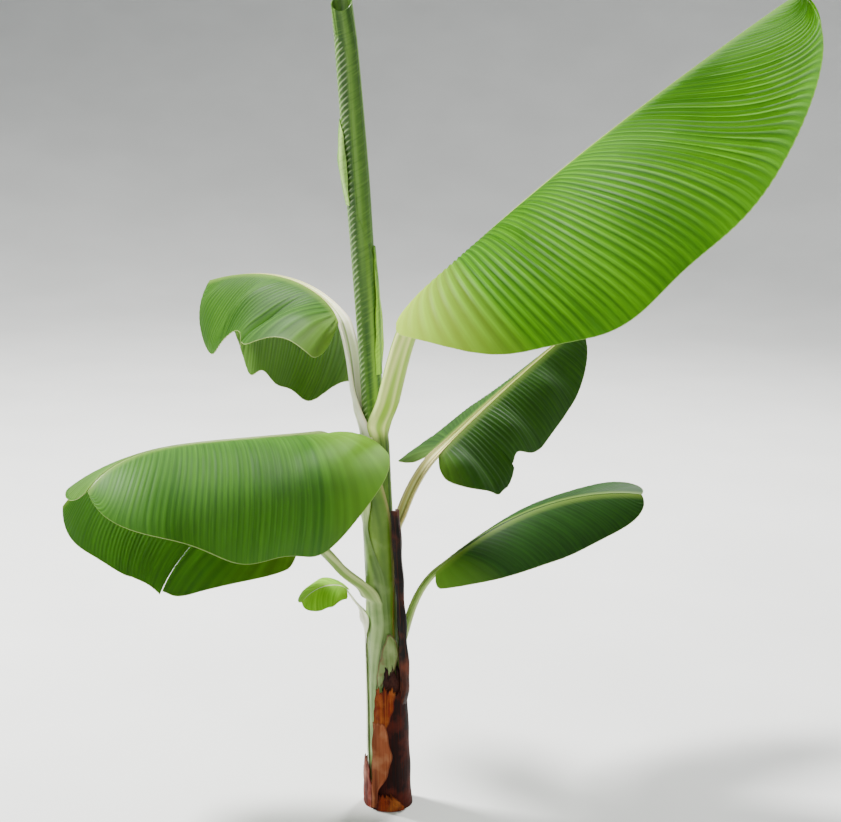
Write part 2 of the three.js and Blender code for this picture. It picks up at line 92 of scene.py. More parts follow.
# The leaves, in millimetres and degrees:
#   hugs           radii of what the stalk stands against
#   rise, out      height at which the stalk starts, and its distance from the stem's axis there
#   wall, wrap     the stalk's thickness at its start, and how far it wraps to each side
#   stalk, blade   lengths of the two
#   lift, head     climb and heading at the stalk's start, at the blade and at the tip
#   bow            powers that hold back the bending of the stalk and of the rib
#   girth, rib     the stalk's radius at both ends, and the rib's where the blade starts
#   lobe, wide     the first vein's share of the longest one, and where along the rib that one is
#   sweep          the veins' slant: backward at the base, forward in the middle and at the tip
#   slant          how far the veins lead forward along the rib
#   pleats, glow   share of the usual pleat height, and of the light that comes through
#   pale_base      share of the pale tint at the blade's base, and the length over which it fades
# and of a half blade, left or right as seen from stem to tip:
#   width          length of its longest vein
#   slope, hang    its slope at the rib and at the margin, each at the base and at the tip
#   waves, folds   height, number and phase of the waves at the margin and the folds inside it
#   creases        place along the rib, width and depth
#   nips           place and reach along the rib, and the share of the vein that is missing
#   tears          place along the rib, share of the vein where it starts, gap, and drop in degrees
#   rounding       share of the rib over which the base is rounded off
LEAVES = (
    dict(name="upper_right", hugs=SPEAR_RADII, rise=560, out=18, wall=5, wrap=44, stalk=241,
         blade=647, lift=(71, 41, 36), bow=(3.9, 0.66), head=(-62, -50, -28.5), girth=(17, 15),
         rib=9, lobe=0.19, wide=0.47, sweep=(62, 8, 40),
         left=dict(width=160, slope=(68, 42), hang=(112, 118), waves=((6, 3.1, 0.2),)),
         right=dict(width=254, slope=(12, 47), hang=(135, 69), waves=((5, 3.4, 0.1),),
                    folds=((5, 2.85, 0.93),), rounding=0.07),
         slant=0.7, pleats=1.55, blade_tint=("#285c00", "#6fb20c"), glow=0.5, pale_base=(0.9, 90),
         pale_tint="#e4f458", stalk_tint=("#a6ca44", "#f6fc9a"),
         sheath_tint=("#34520a", "#5c8018")),
    dict(name="upper_left", hugs=SPEAR_RADII, rise=560, out=18, wall=5, wrap=76, stalk=164,
         blade=368, lift=(83, 51, -17), bow=(3.07, 0.37), head=(163, 125, 133), girth=(13, 10.5),
         rib=6.5, lobe=0.59, wide=0.43, sweep=(57, 6, 40),
         left=dict(width=162, slope=(12, 46), hang=(56, 108), waves=((2, 2.6, 0.55),),
                   folds=((9, 2.6, 0.2),), creases=((0.2, 0.022, 13),),
                   nips=((0.44, 0.2, 0.34), (0.06, 0.12, 0.3))),
         right=dict(width=199, slope=(44, 44), hang=(124, 122), waves=((6, 2.2, 0.1),),
                    nips=((0.93, 0.08, -0.6),)),
         slant=0.35, pleats=0.9, blade_tint=("#1c4208", "#4a7a18"), glow=0.22, pale_base=(0.3, 24),
         # painted sunlight: the near-white stalk tints are a pale stalk's colour raised to look
         # sunlit
         pale_tint="#b4d868", stalk_tint=("#e4e6b8", "#fffbe6"), rib_tint=("#a9b866", "#e2dc9c"),
         lip_tint="#c9a878", sheath_tint=("#3c5c0e", "#6c8e2a")),
    dict(name="middle_right", hugs=STEM_RADII, rise=378, out=16, wall=2.6, wrap=58, stalk=173,
         blade=380, lift=(77, 20, 26), bow=(1.64, 1), head=(36, 57, 44), girth=(10, 8), rib=5.6,
         lobe=0.27, wide=0.2, sweep=(70, 6, 40),
         left=dict(width=118, slope=(10, 38), hang=(40, 66), lobe=0.13, waves=((3, 2.4, 0.3),),
                   tears=(dict(at=0.1, start=0.4, gap=9, drop=14),)),
         right=dict(width=113, slope=(29, 44), hang=(80, 89), waves=((3, 2.2, 0.1),), slant=0.06,
                    nips=((0.31, 0.06, 0.2),), folds=((6, 3.4, 0.1),), creases=((0.12, 0.02, 7),),
                    tears=(dict(at=0.24, start=0.35, gap=-5, drop=-9),)),
         # painted shade: this leaf's blade tints are darkened to the shade it stands in
         slant=0.6, pleats=0.6, blade_tint=("#163308", "#386418"), glow=0.18, pale_base=(0.25, 26),
         pale_tint="#8cb440", stalk_tint=("#cbbf6c", "#eeecae"), rib_tint=("#8c9c3c", "#c0c874"),
         lip_tint="#a3672e", gutter_shade_tint="#4a3810", sheath_tint=("#3f6014", "#6a8c30")),
    dict(name="middle_left", hugs=STEM_RADII, rise=430, out=16, wall=2.6, wrap=40, stalk=178,
         blade=408, lift=(78, 6, -47), bow=(2.9, 6.3), head=(198, 227, 231), girth=(11.5, 8.5),
         rib=6.2, lobe=0.4, wide=0.33, sweep=(66, 6, 40),
         left=dict(width=214, slope=(-16, 3), hang=(103, 77), waves=((5, 2.7, 0.1),)),
         right=dict(width=150, slope=(14, 22), hang=(44, 44), waves=((5, 2.3, 0.4),)),
         slant=0.4, pleats=0.45, blade_tint=("#224c0c", "#568e26"), glow=0.26, pale_base=(0.45, 50),
         pale_tint="#a2d640", stalk_tint=("#8fb058", "#cfe09a"),
         sheath_tint=("#36520f", "#67863a")),
    dict(name="lower_left", hugs=STEM_RADII, rise=317, out=20, wall=2.6, wrap=54, stalk=164,
         blade=389, lift=(56, 39, -55), bow=(1.15, 1.38), head=(210, 181, 163),
         girth=(13, 11), rib=5.4, lobe=0.29, wide=0.27, sweep=(58, 6, 40),
         left=dict(width=179, slope=(32, 38), hang=(86, 79), waves=((4, 2.4, 0.2),),
                   tears=(dict(at=0.14, start=0.45, gap=2.5, drop=4),)),
         right=dict(width=122, slope=(24, -9), hang=(60, 18), waves=((4, 2.1, 0.5),)),
         # painted shade: this leaf's blade tints are darkened to the shade it stands in
         slant=0.5, pleats=0.7, blade_tint=("#112f04", "#356408"), glow=0.36, pale_base=(0.1, 30),
         stalk_tint=("#6d8a3a", "#b7c67c"), sheath_tint=("#547236", "#8fa864")),
    dict(name="lower_right", hugs=STEM_RADII, rise=201, out=14, wall=2.6, wrap=40, stalk=170,
         blade=330, lift=(80, 41, -6), bow=(2.88, 1.27), head=(13, 10, 7), girth=(10, 6.6),
         rib=4.4, lobe=0.3, wide=0.41, sweep=(60, 6, 45),
         left=dict(width=84, slope=(18, -14), hang=(62, 6), waves=((2, 2.2, 0.3),)),
         right=dict(width=83, slope=(25, 36), hang=(72, 80), waves=((2, 2.1, 0.6),)),
         # painted shade: this leaf's blade and rib tints are darkened to the shade it stands in
         slant=0.6, pleats=0.4, blade_tint=("#0d2606", "#265212"), glow=0.14, pale_base=(0.55, 44),
         pale_tint="#86bc3e", stalk_tint=("#7a9c3c", "#b9cc7c"), rib_tint=("#1c380c", "#3c5c1c"),
         sheath_tint=("#24400c", "#4c6e1e")),
    dict(name="small_left", hugs=OVER_SHEATH_RADII, rise=253, out=23, wall=2, wrap=11, stalk=88,
         blade=74, lift=(84, 49, -55), bow=(1.1, 0.62), head=(185, 196, 186), girth=(3.2, 2.8),
         rib=2.6, lobe=0.4, wide=0.42, sweep=(55, 6, 45),
         left=dict(width=34, slope=(29, 30), hang=(70, 60), waves=((1, 2, 0.3),)),
         right=dict(width=44, slope=(-6, -8), hang=(20, 18), waves=((1, 2, 0.6),)),
         slant=0.4, pleats=0.5, blade_tint=("#5a941a", "#b2e03c"), glow=0.34, pale_base=(0.2, 10),
         stalk_tint=("#dde3b4", "#f6f4dc"), sheath_tint=("#8fa268", "#d5dab8")),
)

# Loose and dry shells. A row is a height, the headings of the two margins, the clearance under
# the shell, and how far its second margin curls out.
SHELLS = (
    dict(name="spear_loose_margin", hugs=SPEAR_RADII, wall=0.9, ragged=3, finish="bright margin",
         rows=((650, 300, 372, 0.3, 0), (690, 304, 378, 1.2, 4), (725, 312, 384, 2.2, 5),
               (755, 320, 386, 2.6, 2), (800, 326, 368, 1.6, 0), (830, 334, 352, 0.3, 0))),
    dict(name="spear_outer_flap", hugs=SPEAR_RADII, wall=0.9, ragged=3, finish="green flap",
         rows=((884, 150, 222, 0.3, 0), (915, 150, 232, 4.5, -2), (945, 152, 234, 7, -4),
               (980, 158, 220, 3, -2), (1000, 164, 198, 0.3, 0))),
    dict(name="dry_base_sheath", hugs=STEM_RADII, wall=1.6, ragged=9, finish="dark sheath",
         rows=((0, 236, 400, 4.6, 0), (60, 237, 400, 8.2, 0), (120, 240, 398, 8.7, 0),
               (175, 246, 394, 8.8, 0), (192, 250, 392, 8.8, 0))),
    dict(name="dry_base_fold", node="dry_base_sheath", hugs=STEM_RADII, wall=1, ragged=2,
         finish="tan fold",
         rows=((4, 232, 246, 7.6, 0.5), (33, 233, 252, 9.4, 2), (57, 234, 273, 10.6, 3),
               (87, 235, 284, 10.8, 3), (118, 237, 275, 10.8, 2), (138, 239, 269, 10.6, 1))),
    # painted sunlight: a lit patch of the dry base sheath, drawn in the brighter orange finish
    dict(name="dry_base_lit", node="dry_base_sheath", hugs=STEM_RADII, wall=1, ragged=8,
         finish="orange sheath",
         rows=((112, 238, 266, 9.6, 0), (135, 239, 277, 10.2, 1), (160, 243, 292, 10.6, 1.5),
               (194, 250, 300, 10.6, 1))),
    dict(name="dry_base_foot", node="dry_base_sheath", hugs=STEM_RADII, wall=1, ragged=5,
         finish="orange sheath",
         rows=((1, 247, 312, 9.4, 0), (12, 249, 304, 9.4, 0), (28, 254, 276, 9.3, 0))),
    dict(name="dry_base_remnant", node="dry_base_sheath", hugs=STEM_RADII, wall=1, ragged=14,
         finish="charred sheath",
         rows=((180, 262, 342, 6.4, 0), (200, 268, 338, 6.2, 1), (226, 276, 322, 5.4, 1))),
    dict(name="dry_left_sheath", hugs=STEM_RADII, wall=1.4, ragged=7, finish="pink sheath",
         rows=((0, 172, 232, 4.4, 0), (40, 176, 230, 8, 1), (60, 184, 222, 8, 1),
               (78, 192, 208, 7, 0))),
    dict(name="pale_sheath_flap", hugs=STEM_RADII, wall=1.2, ragged=1, finish="pale flap",
         rows=((192, 246, 260, 3.8, 0), (204, 247, 276, 4.2, 0.5), (219, 252, 305, 5, 1),
               (237, 262, 320, 5.2, 1), (252, 270, 319, 5, 0.8), (261, 279, 314, 4.6, 0.4),
               (271, 288, 294, 4, 0))),
)
DEAD_STALK = dict(span=(150.4, 455), head=-30, out=(33.8, 27.2), radius=(8.6, 7.2), sunk=11,
                  sunk_length=44, rings=110, across=12)

# Finish, kind, and the tints of dead sheath from deep to pale.
DRY_FINISHES = (
    ("dark sheath", "outer face", "#0a0201", "#270602", "#5c1c0a"),
    ("tan fold", "inner face", "#642c14", "#8c4a2a", "#b27a54"),
    # painted sunlight: the orange tints are brighter dry sheath standing for sun on it
    ("orange sheath", "thin, with painted sunlight", "#420f04", "#762608", "#ac6426"),
    ("charred sheath", "weathered", "#0a0503", "#1e0d08", "#46221a"),
    ("pink sheath", "papery", "#48120c", "#7c3022", "#b27c6a"),
)

# How each sheath wraps the stem below its stalk. A row is a height, the headings of its two
# margins, and how far it stands out from the stem. It starts inside the layer that lies over it.
SHEATHS = {
    "upper_right": ((180, 262, 386, -0.6), (200, 262, 386, 0.4), (531, 262, 382, 0.6),
                    (560, 259, 378, 0.3)),
    "upper_left": ((150, 60, 344, -0.6), (170, 60, 344, 1.0), (435, 50, 329, 1.2),
                   (462, 48, 315, 1.2), (495, 45, 293, 1.2), (531, 42, 275, 1.0),
                   (560, 40, 262, 0.5)),
    "middle_right": ((120, 300, 110, -0.6), (140, 300, 110, 1.5), (300, 312, 106, 1.8),
                     (378, 330, 98, 2.6)),
    "middle_left": ((150, 100, 304, -0.6), (170, 100, 300, 1.4), (321, 110, 291, 1.8),
                    (360, 114, 284, 2.2), (381, 118, 263, 2.4), (405, 128, 243, 2.6),
                    (430, 148, 226, 2.9)),
    "lower_left": ((0, 150, 250, 2.6), (27, 150, 240, 2.8), (75, 150, 234, 3.0),
                   (138, 150, 234, 3.0), (183, 150, 240, 3.0), (225, 150, 252, 3.0),
                   (255, 150, 264, 3.0), (279, 152, 278, 3.0), (300, 154, 277, 3.0),
                   (317, 156, 268, 3.0)),
    "lower_right": ((90, 330, 60, -0.6), (110, 330, 60, 2.2), (201, 330, 52, 2.6)),
    "small_left": ((60, 166, 206, -0.8), (84, 167, 203, 1.6), (253, 174, 196, 2.0)),
}
CROWN_TUCK = 5.0            # how far the stem's top draws in, from a height to the crown
CROWN_TUCK_FROM = 540
# The spear leaf's outer turn ends at a margin: headings, then heights. Above it a band of
# ridges ends at a heading that changes with the height: heights, then headings.
SPEAR_MARGIN = ((90, 182, 236, 270, 297, 329, 450), (930, 897, 882, 864, 837, 816, 760))
SPEAR_BAND = ((556, 700, 840, 897, 918, 987, 1038, 1077, 1101, 1112, 1165),
              (256, 258, 262, 262, 261, 266, 275, 282, 266, 225, 215))

# The stage, in metres, watts and degrees: a floor that rises far off, three soft lights aimed at
# one place, and the camera where the photograph was taken from.
BOWL = (4, 10, 5)
LIT_PLACE = (0, 0, 0.6)
LIGHTS = (("key", (-2.0, 0.75, 3.3), 0.6, 420), ("fill", (-0.6, -3.2, 2.2), 2.6, 30),
          ("back", (1.3, 2.4, 2.8), 1.0, 170))
CAMERA = dict(place=(0.0296, -2.262, 1.130), down=13.25, roll=1.893, focal_pixels=1650,
              picture_width=841, sensor=36)


def srgb(hex_colour):
    """An sRGB hex colour as linear RGB with full alpha."""
    parts = [int(hex_colour[i:i + 2], 16) / 255 for i in (1, 3, 5)]
    return (*[p / 12.92 if p <= 0.04045 else ((p + 0.055) / 1.055) ** 2.4 for p in parts], 1.0)


def mix(a, b, t):
    return a + (b - a) * t


def ease(t):
    t = np.clip(t, 0, 1)
    return t * t * (3 - 2 * t)


def unit(vectors):
    return vectors / np.linalg.norm(vectors, axis=-1, keepdims=True)


def along(pairs, place):
    """A list of heights and values, read at a height."""
    return np.interp(place, [p[0] for p in pairs], [p[1] for p in pairs])


def smooth_along(pairs, place):
    """The same list read with its corners rounded off."""
    return sum(along(pairs, place + step) for step in (-14, -7, 0, 7, 14)) / 5


def stem_axis(height):
    """Where the leaning stem's axis is at a height."""
    height = np.asarray(height, float)
    return np.stack([-LEAN * height - CURVE * height ** 2, 0 * height, height], -1)


def compass(degrees):
    """The level direction of a heading."""
    turn = np.radians(degrees)
    return np.stack([np.cos(turn), np.sin(turn), 0 * turn], -1)


def walk_rib(leaf):
    """Places and directions along the rib, from -1 at the stem through 0 to 1 at the tip."""
    t = np.concatenate([np.linspace(-1, 0, STALK_PLACES, endpoint=False),
                        np.linspace(0, 1, RIB_PLACES)])
    on_stalk = np.clip(t + 1, 0, 1)
    on_blade = np.clip(t, 0, 1)
    lift, head = leaf["lift"], leaf["head"]
    rise = np.radians(np.where(t <= 0, mix(lift[0], lift[1], on_stalk ** leaf["bow"][0]),
                               mix(lift[1], lift[2], on_blade ** leaf["bow"][1])))
    turn = np.radians(np.where(t <= 0, mix(head[0], head[1], on_stalk),
                               mix(head[1], head[2], on_blade)))
    forward = np.stack([np.cos(rise) * np.cos(turn), np.cos(rise) * np.sin(turn), np.sin(rise)], -1)
    side = np.stack([-np.sin(turn), np.cos(turn), 0 * turn], -1)
    length = np.where(t[1:] <= 0, leaf["stalk"], leaf["blade"]) * np.diff(t)
    start = stem_axis(leaf["rise"]) + leaf["out"] * compass(head[0])
    steps = unit(forward[1:] + forward[:-1]) * length[:, None]
    place = np.vstack([start, start + np.cumsum(steps, 0)])
    return dict(t=t, place=place, forward=forward, side=side, up=np.cross(forward, side))


def rib_at(rib, t):
    """Places and directions between those of walk_rib."""
    found = {}
    for key in ("place", "forward", "side", "up"):
        parts = [np.interp(t, rib["t"], rib[key][:, i]) for i in range(3)]
        found[key] = np.stack(parts, -1)
    for key in ("forward", "side", "up"):
        found[key] = unit(found[key])
    return found


def rib_radius(leaf, u):
    """The rib's radius at u, with the swelling where the stalk runs into it."""
    swell = (leaf["girth"][1] - leaf["rib"]) * np.exp(-u / FAN)
    return leaf["rib"] * mix(1, RIB_TIP_SHARE, u) + swell


def vein_length(leaf, half, u):
    """Length of the vein at u, as a share of the widest one."""
    wide = half.get("wide", leaf["wide"])
    lobe = half.get("lobe", leaf["lobe"])
    rising = 1 - (1 - np.clip(u / wide, 0, 1)) ** RISE_POWER
    falling = 1 - np.clip((u - wide) / (1 - wide), 0, 1) ** FALL_POWER
    return (lobe + (1 - lobe) * rising) * falling ** TIP_POWER


def vein_sweep(leaf, u):
    """Slant of the vein at u from square to the rib, in degrees: backward at the base, forward
    at the tip."""
    back, middle, fore = leaf["sweep"]
    return middle - (middle + back) * np.exp(-u / FAN) + (fore - middle) * u ** 4


def add_node(tree, kind, inputs=None, **settings):
    """Adds a node, sets it, and fills its inputs with values or links from other nodes."""
    made = tree.nodes.new(kind)
    for key, value in settings.items():
        setattr(made, key, value)
    for key, value in (inputs or {}).items():
        if isinstance(value, bpy.types.NodeSocket):
            tree.links.new(value, made.inputs[key])
        else:
            made.inputs[key].default_value = value
    return made


def deselect():
    """Leaves edit mode with nothing selected, because an operator acts on all that is."""
    if bpy.context.object and bpy.context.object.mode != "OBJECT":
        bpy.ops.object.mode_set(mode="OBJECT")
    bpy.ops.object.select_all(action="DESELECT")


def grid_piece(name, points, uv, mark, ridge=None, torn=(), capped=False):
    """A grid primitive laid on columns of points in millimetres. mark and ridge are numbers kept
    at each point for the material, torn lists the columns that part from the next one, and capped
    closes a tube's ends."""
    across, rows = points.shape[0] - 1, points.shape[1] - 1
    deselect()
    bpy.ops.mesh.primitive_grid_add(x_subdivisions=across, y_subdivisions=rows, size=2)
    piece = bpy.context.object
    piece.name = piece.data.name = name
    mesh = piece.data
    flat = np.empty(len(mesh.vertices) * 3)
    mesh.vertices.foreach_get("co", flat)
    flat = flat.reshape(-1, 3)
    i = np.rint((flat[:, 0] + 1) / 2 * across).astype(int)
    j = np.rint((flat[:, 1] + 1) / 2 * rows).astype(int)
    mesh.vertices.foreach_set("co", (points[i, j] / MM).ravel())
    corner = np.empty(len(mesh.loops), int)
    mesh.loops.foreach_get("vertex_index", corner)
    layer = mesh.uv_layers.active or mesh.uv_layers.new()
    layer.name = "surface_map"
    layer.data.foreach_set("uv", (uv[i, j][corner] / MM).ravel())
    for key, values in (("mark", mark), ("ridge", ridge)):
        if values is not None:
            kept = mesh.attributes.new(key, "FLOAT", "POINT")
            values = np.broadcast_to(values, points.shape[:2]).astype(float)
            kept.data.foreach_set("value", values[i, j])
    if len(torn):
        column = i[corner].reshape(-1, 4).min(1)
        gaps = np.isin(column, list(torn))
        bpy.ops.object.mode_set(mode="EDIT")
        bpy.ops.mesh.select_mode(type="FACE")
        bpy.ops.mesh.select_all(action="DESELECT")
        bpy.ops.object.mode_set(mode="OBJECT")
        mesh.polygons.foreach_set("select", gaps)
        bpy.ops.object.mode_set(mode="EDIT")
        bpy.ops.mesh.delete(type="ONLY_FACE")
        bpy.ops.object.mode_set(mode="OBJECT")
    bpy.ops.object.mode_set(mode="EDIT")
    bpy.ops.mesh.select_mode(type="VERT")
    bpy.ops.mesh.select_all(action="SELECT")
    bpy.ops.mesh.remove_doubles(threshold=2e-6)
    if capped:
        bpy.ops.mesh.select_all(action="SELECT")
        bpy.ops.mesh.fill_holes(sides=0)
    bpy.ops.mesh.select_all(action="SELECT")
    bpy.ops.mesh.normals_make_consistent(inside=False)
    bpy.ops.object.mode_set(mode="OBJECT")
    return piece


def finish_piece(piece, materials, slot, *nodes, thick=0.0, angle=60):
    """Gives a sheet its thickness, smooths and dresses a piece, and ties it to the frame."""
    for material in materials:
        piece.data.materials.append(material)
    if thick:
        wall = piece.modifiers.new("wall", "SOLIDIFY")
        wall.thickness = thick / MM
        wall.offset = 0
        wall.material_offset = len(materials) - 1
        wall.material_offset_rim = 0
        bpy.ops.object.modifier_apply(modifier=wall.name)
    bpy.ops.object.shade_smooth_by_angle(angle=math.radians(angle))
    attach(piece, "root")
    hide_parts(*nodes)
    return piece


def arc(centre, back, side, radius, turns):
    """Points round a centre, by their turns from the back to the side."""
    return centre + np.asarray(radius)[..., None] * (np.cos(turns)[:, None] * back
                                                     + np.sin(turns)[:, None] * side)


def ring_of(centre, back, side, inner, wall, right, left):
    """A crescent: its centre and directions, inner radius, wall, and reach to both sides."""
    return dict(centre=centre, back=back, side=side, inner=inner, wall=wall, right=right, left=left)


def sheath_rings(leaf):
    """The crescents that wrap the stem below the stalk, from the table of sheaths."""
    heights, *columns = np.array(SHEATHS[leaf["name"]], float).T
    head = leaf["head"][0]
    on_stem = STEM_RADII if leaf["hugs"] is SPEAR_RADII else leaf["hugs"]
    rings = []
    for height in np.arange(heights[0], heights[-1] - 2, SHEATH_STEP):
        low, high, stand = (float(np.interp(height, heights, column)) for column in columns)
        share = (height - heights[0]) / (heights[-1] - heights[0])
        wall = mix(stand + 0.8, leaf["wall"], share ** 6)
        outer = float(smooth_along(on_stem, height)) + stand
        rings.append(ring_of(stem_axis(height), compass(head), compass(head + 90), outer - wall,
                             wall, (head - low) % 360, (high - head) % 360))
    return rings


def stalk_ring(leaf, rib, t, start):
    """A crescent at t of the stalk. It grows until its inner face clears what it stands against.
    start is how far the last ring of the sheath wraps to the right and left."""
    at = rib_at(rib, t - 1)
    away = ease(t * leaf["stalk"] / DEPARTURE)
    centre = at["place"] - compass(leaf["head"][0]) * leaf["out"] * (1 - away)
    hug = float(along(leaf["hugs"], centre[2]))
    gone = min(np.linalg.norm((centre - stem_axis(centre[2]))[:2]) / hug, 1)
    facing = unit(mix(np.array([0, 0, 1.0]), at["forward"], gone))
    outer = mix(*leaf["girth"], t)
    ring = ring_of(centre, np.cross(at["side"], facing), at["side"], outer * GUTTER,
                   mix(leaf["wall"], outer * (1 - GUTTER), gone),
                   mix(start[0], OPEN_WRAP, gone), mix(start[1], OPEN_WRAP, gone))
    wrap = mix(leaf["wrap"], OPEN_WRAP, gone)
    turns = np.radians(np.linspace(-wrap, wrap, 9))
    clear, step, most_steps = 0.5, 0.2, 200
    for _ in range(most_steps):
        inside = arc(centre, ring["back"], ring["side"], ring["inner"], turns)
        stand = np.linalg.norm((inside - stem_axis(inside[:, 2]))[:, :2], axis=1) - hug
        if stand.min() >= clear:
            break
        ring["inner"] += step
    return ring


def limb_rings(leaf, rib):
    """Centres, directions and sizes of the crescents of one leaf's sheath, stalk and rib. right
    and left are how far a crescent wraps to each side of its back."""
    rings = sheath_rings(leaf)
    start = (rings[-1]["right"], rings[-1]["left"])
    for t in np.linspace(0, 1, int(leaf["stalk"] / STALK_STEP)):
        rings.append(stalk_ring(leaf, rib, t, start))
    point_from, point_end = 0.97, 0.12
    for u in np.linspace(0, 1, int(leaf["blade"] / RIB_STEP))[1:]:
        at = rib_at(rib, u)
        point = 1 if u < point_from else max(point_end, (1 - u) / (1 - point_from))
        outer = float(rib_radius(leaf, u)) * point
        rings.append(ring_of(at["place"], -at["up"], at["side"], outer * GUTTER,
                             outer * (1 - GUTTER), OPEN_WRAP, OPEN_WRAP))
    # Eight rounds of averaging take out the steps where sheath, stalk and rib meet.
    for _ in range(8):
        for key in ("inner", "wall", "right", "left"):
            values = np.array([ring[key] for ring in rings])
            values[1:-1] = (values[2:] + values[1:-1] * 2 + values[:-2]) / 4
            for ring, value in zip(rings, values):
                ring[key] = float(value)
    return rings


def make_limb(leaf, rib, material):
    """One continuous sheath, stalk and rib, thick at the back and thin at its two margins. Its
    mark runs from 0 on the sheath through 1 on the stalk to 2 on the rib."""
    points, uv, mark = [], [], []
    travelled = 0.0
    rings = limb_rings(leaf, rib)
    sheath_ends = len(sheath_rings(leaf))
    stalk_ends = sheath_ends + int(leaf["stalk"] / STALK_STEP)
    before = rings[0]["centre"]
    place = np.linspace(-1, 1, LIMB_POINTS)
    half_map, lip_share = 10, 0.16      # the outside is 20 mm wide in the map
    across = np.concatenate([place, 2 - place[::-1], [3.0]]) * half_map
    for k, ring in enumerate(rings):
        travelled += np.linalg.norm(ring["centre"] - before)
        before = ring["centre"]
        turns = np.radians(mix(-ring["right"], ring["left"], (place + 1) / 2))
        outer = (ring["inner"] + ring["wall"]) * (1 + 0.008 * np.sin(9 * place + travelled / 60))
        inner = outer - ring["wall"] * mix(1, lip_share, np.abs(place) ** 2.5)
        section = (ring["centre"], ring["back"], ring["side"])
        loop = np.vstack([arc(*section, outer, turns), arc(*section, inner[::-1], turns[::-1])])
        points.append(np.vstack([loop, loop[:1]]))
        uv.append(np.stack([across, np.full(len(across), travelled)], -1))
        mark.append(ease((k - sheath_ends) / 14 + 0.3) + ease((k - stalk_ends) / 16))
    points = np.array(points).transpose(1, 0, 2)
    uv = np.array(uv).transpose(1, 0, 2)
    piece = grid_piece(leaf["name"] + "_stalk_and_rib", points, uv, np.array(mark), capped=True)
    nodes = [leaf["name"] + tail for tail in ("_sheath", "_stalk", "_rib")]
    return finish_piece(piece, [material], "leaf_stalk",
                        *[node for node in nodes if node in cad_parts])


def blade_columns(half, count):
    """Places along the rib, closer at the base and twice where the blade is torn, as in the
    solids. after and follow say on which side of the tear a column is and how far it goes along."""
    crowding = 1.25
    columns = [dict(u=t ** crowding) for t in np.linspace(0, 1, count + 1)]
    torn = []
    for tear in half.get("tears", ()):
        start = next(k for k, c in enumerate(columns) if c["u"] > tear["at"] - 0.5 / count)
        columns[start:start + 1] = [dict(u=tear["at"], tear=tear, after=0, follow=0.5),
                                    dict(u=tear["at"], tear=tear, after=1, follow=1)]
        torn.append(start)
        for column in columns[start + 2:]:
            follow = 1 - (column["u"] - tear["at"]) / TEAR_FADES
            if follow > 0:
                column.update(tear=tear, after=0.5, follow=follow)
        for column in columns[:start]:
            near = 1 - (tear["at"] - column["u"]) / (TEAR_FADES / 3)
            if near > 0 and "tear" not in column:
                column.update(tear=tear, after=0, follow=0.5 * near)
    return columns, torn


def rise_of_waves(half, along_rib, u, v, share):
    """Height of a half blade's waves at the margin, of its folds inside it and of its creases."""
    rise = 0
    for height, waves, phase in half["waves"]:
        rise = rise + height * np.sin(2 * np.pi * (waves * u + phase)) * (share * v) ** 1.5
    for height, waves, phase in half.get("folds", ()):
        turn = 2 * np.pi * (waves * along_rib + phase)
        fold = np.sin(turn) - 0.25 * np.sin(2 * turn)
        deepest = ease(v * 1.8) * (1 - 0.85 * ease((v - 0.55) / 0.45))
        rise = rise + height * fold * deepest * ease(share * 1.2)
    for place, width, depth in half.get("creases", ()):
        rise = rise - depth * np.exp(-((along_rib - place) / width) ** 2) * ease(1.4 * v)
    return rise


def pleats_of(leaf, s, v, length, hand, surface):
    """Height in millimetres and shape from about -1 to 1 of the pleats, which run along the
    veins. Their spacing and height wander, and they fade at the rib and the margin."""
    phase = (2 * np.pi * s / MM / surface.pleat_spacing
             + 1.1 * np.sin(s / 31 + hand) + 0.7 * np.sin(s / 13))
    strength = (MM * surface.pleat_height * leaf["pleats"]
                * (0.7 + 0.3 * np.sin(s / 47 + 2 * hand + v * 3)))
    fade = ease(v * length / 16) * (1 - 0.5 * ease((v - 0.8) / 0.2))
    sharp = np.sin(phase) + 0.35 * np.sin(2 * phase) + 0.1 * np.sin(3 * phase)
    return strength * fade * sharp, sharp * fade


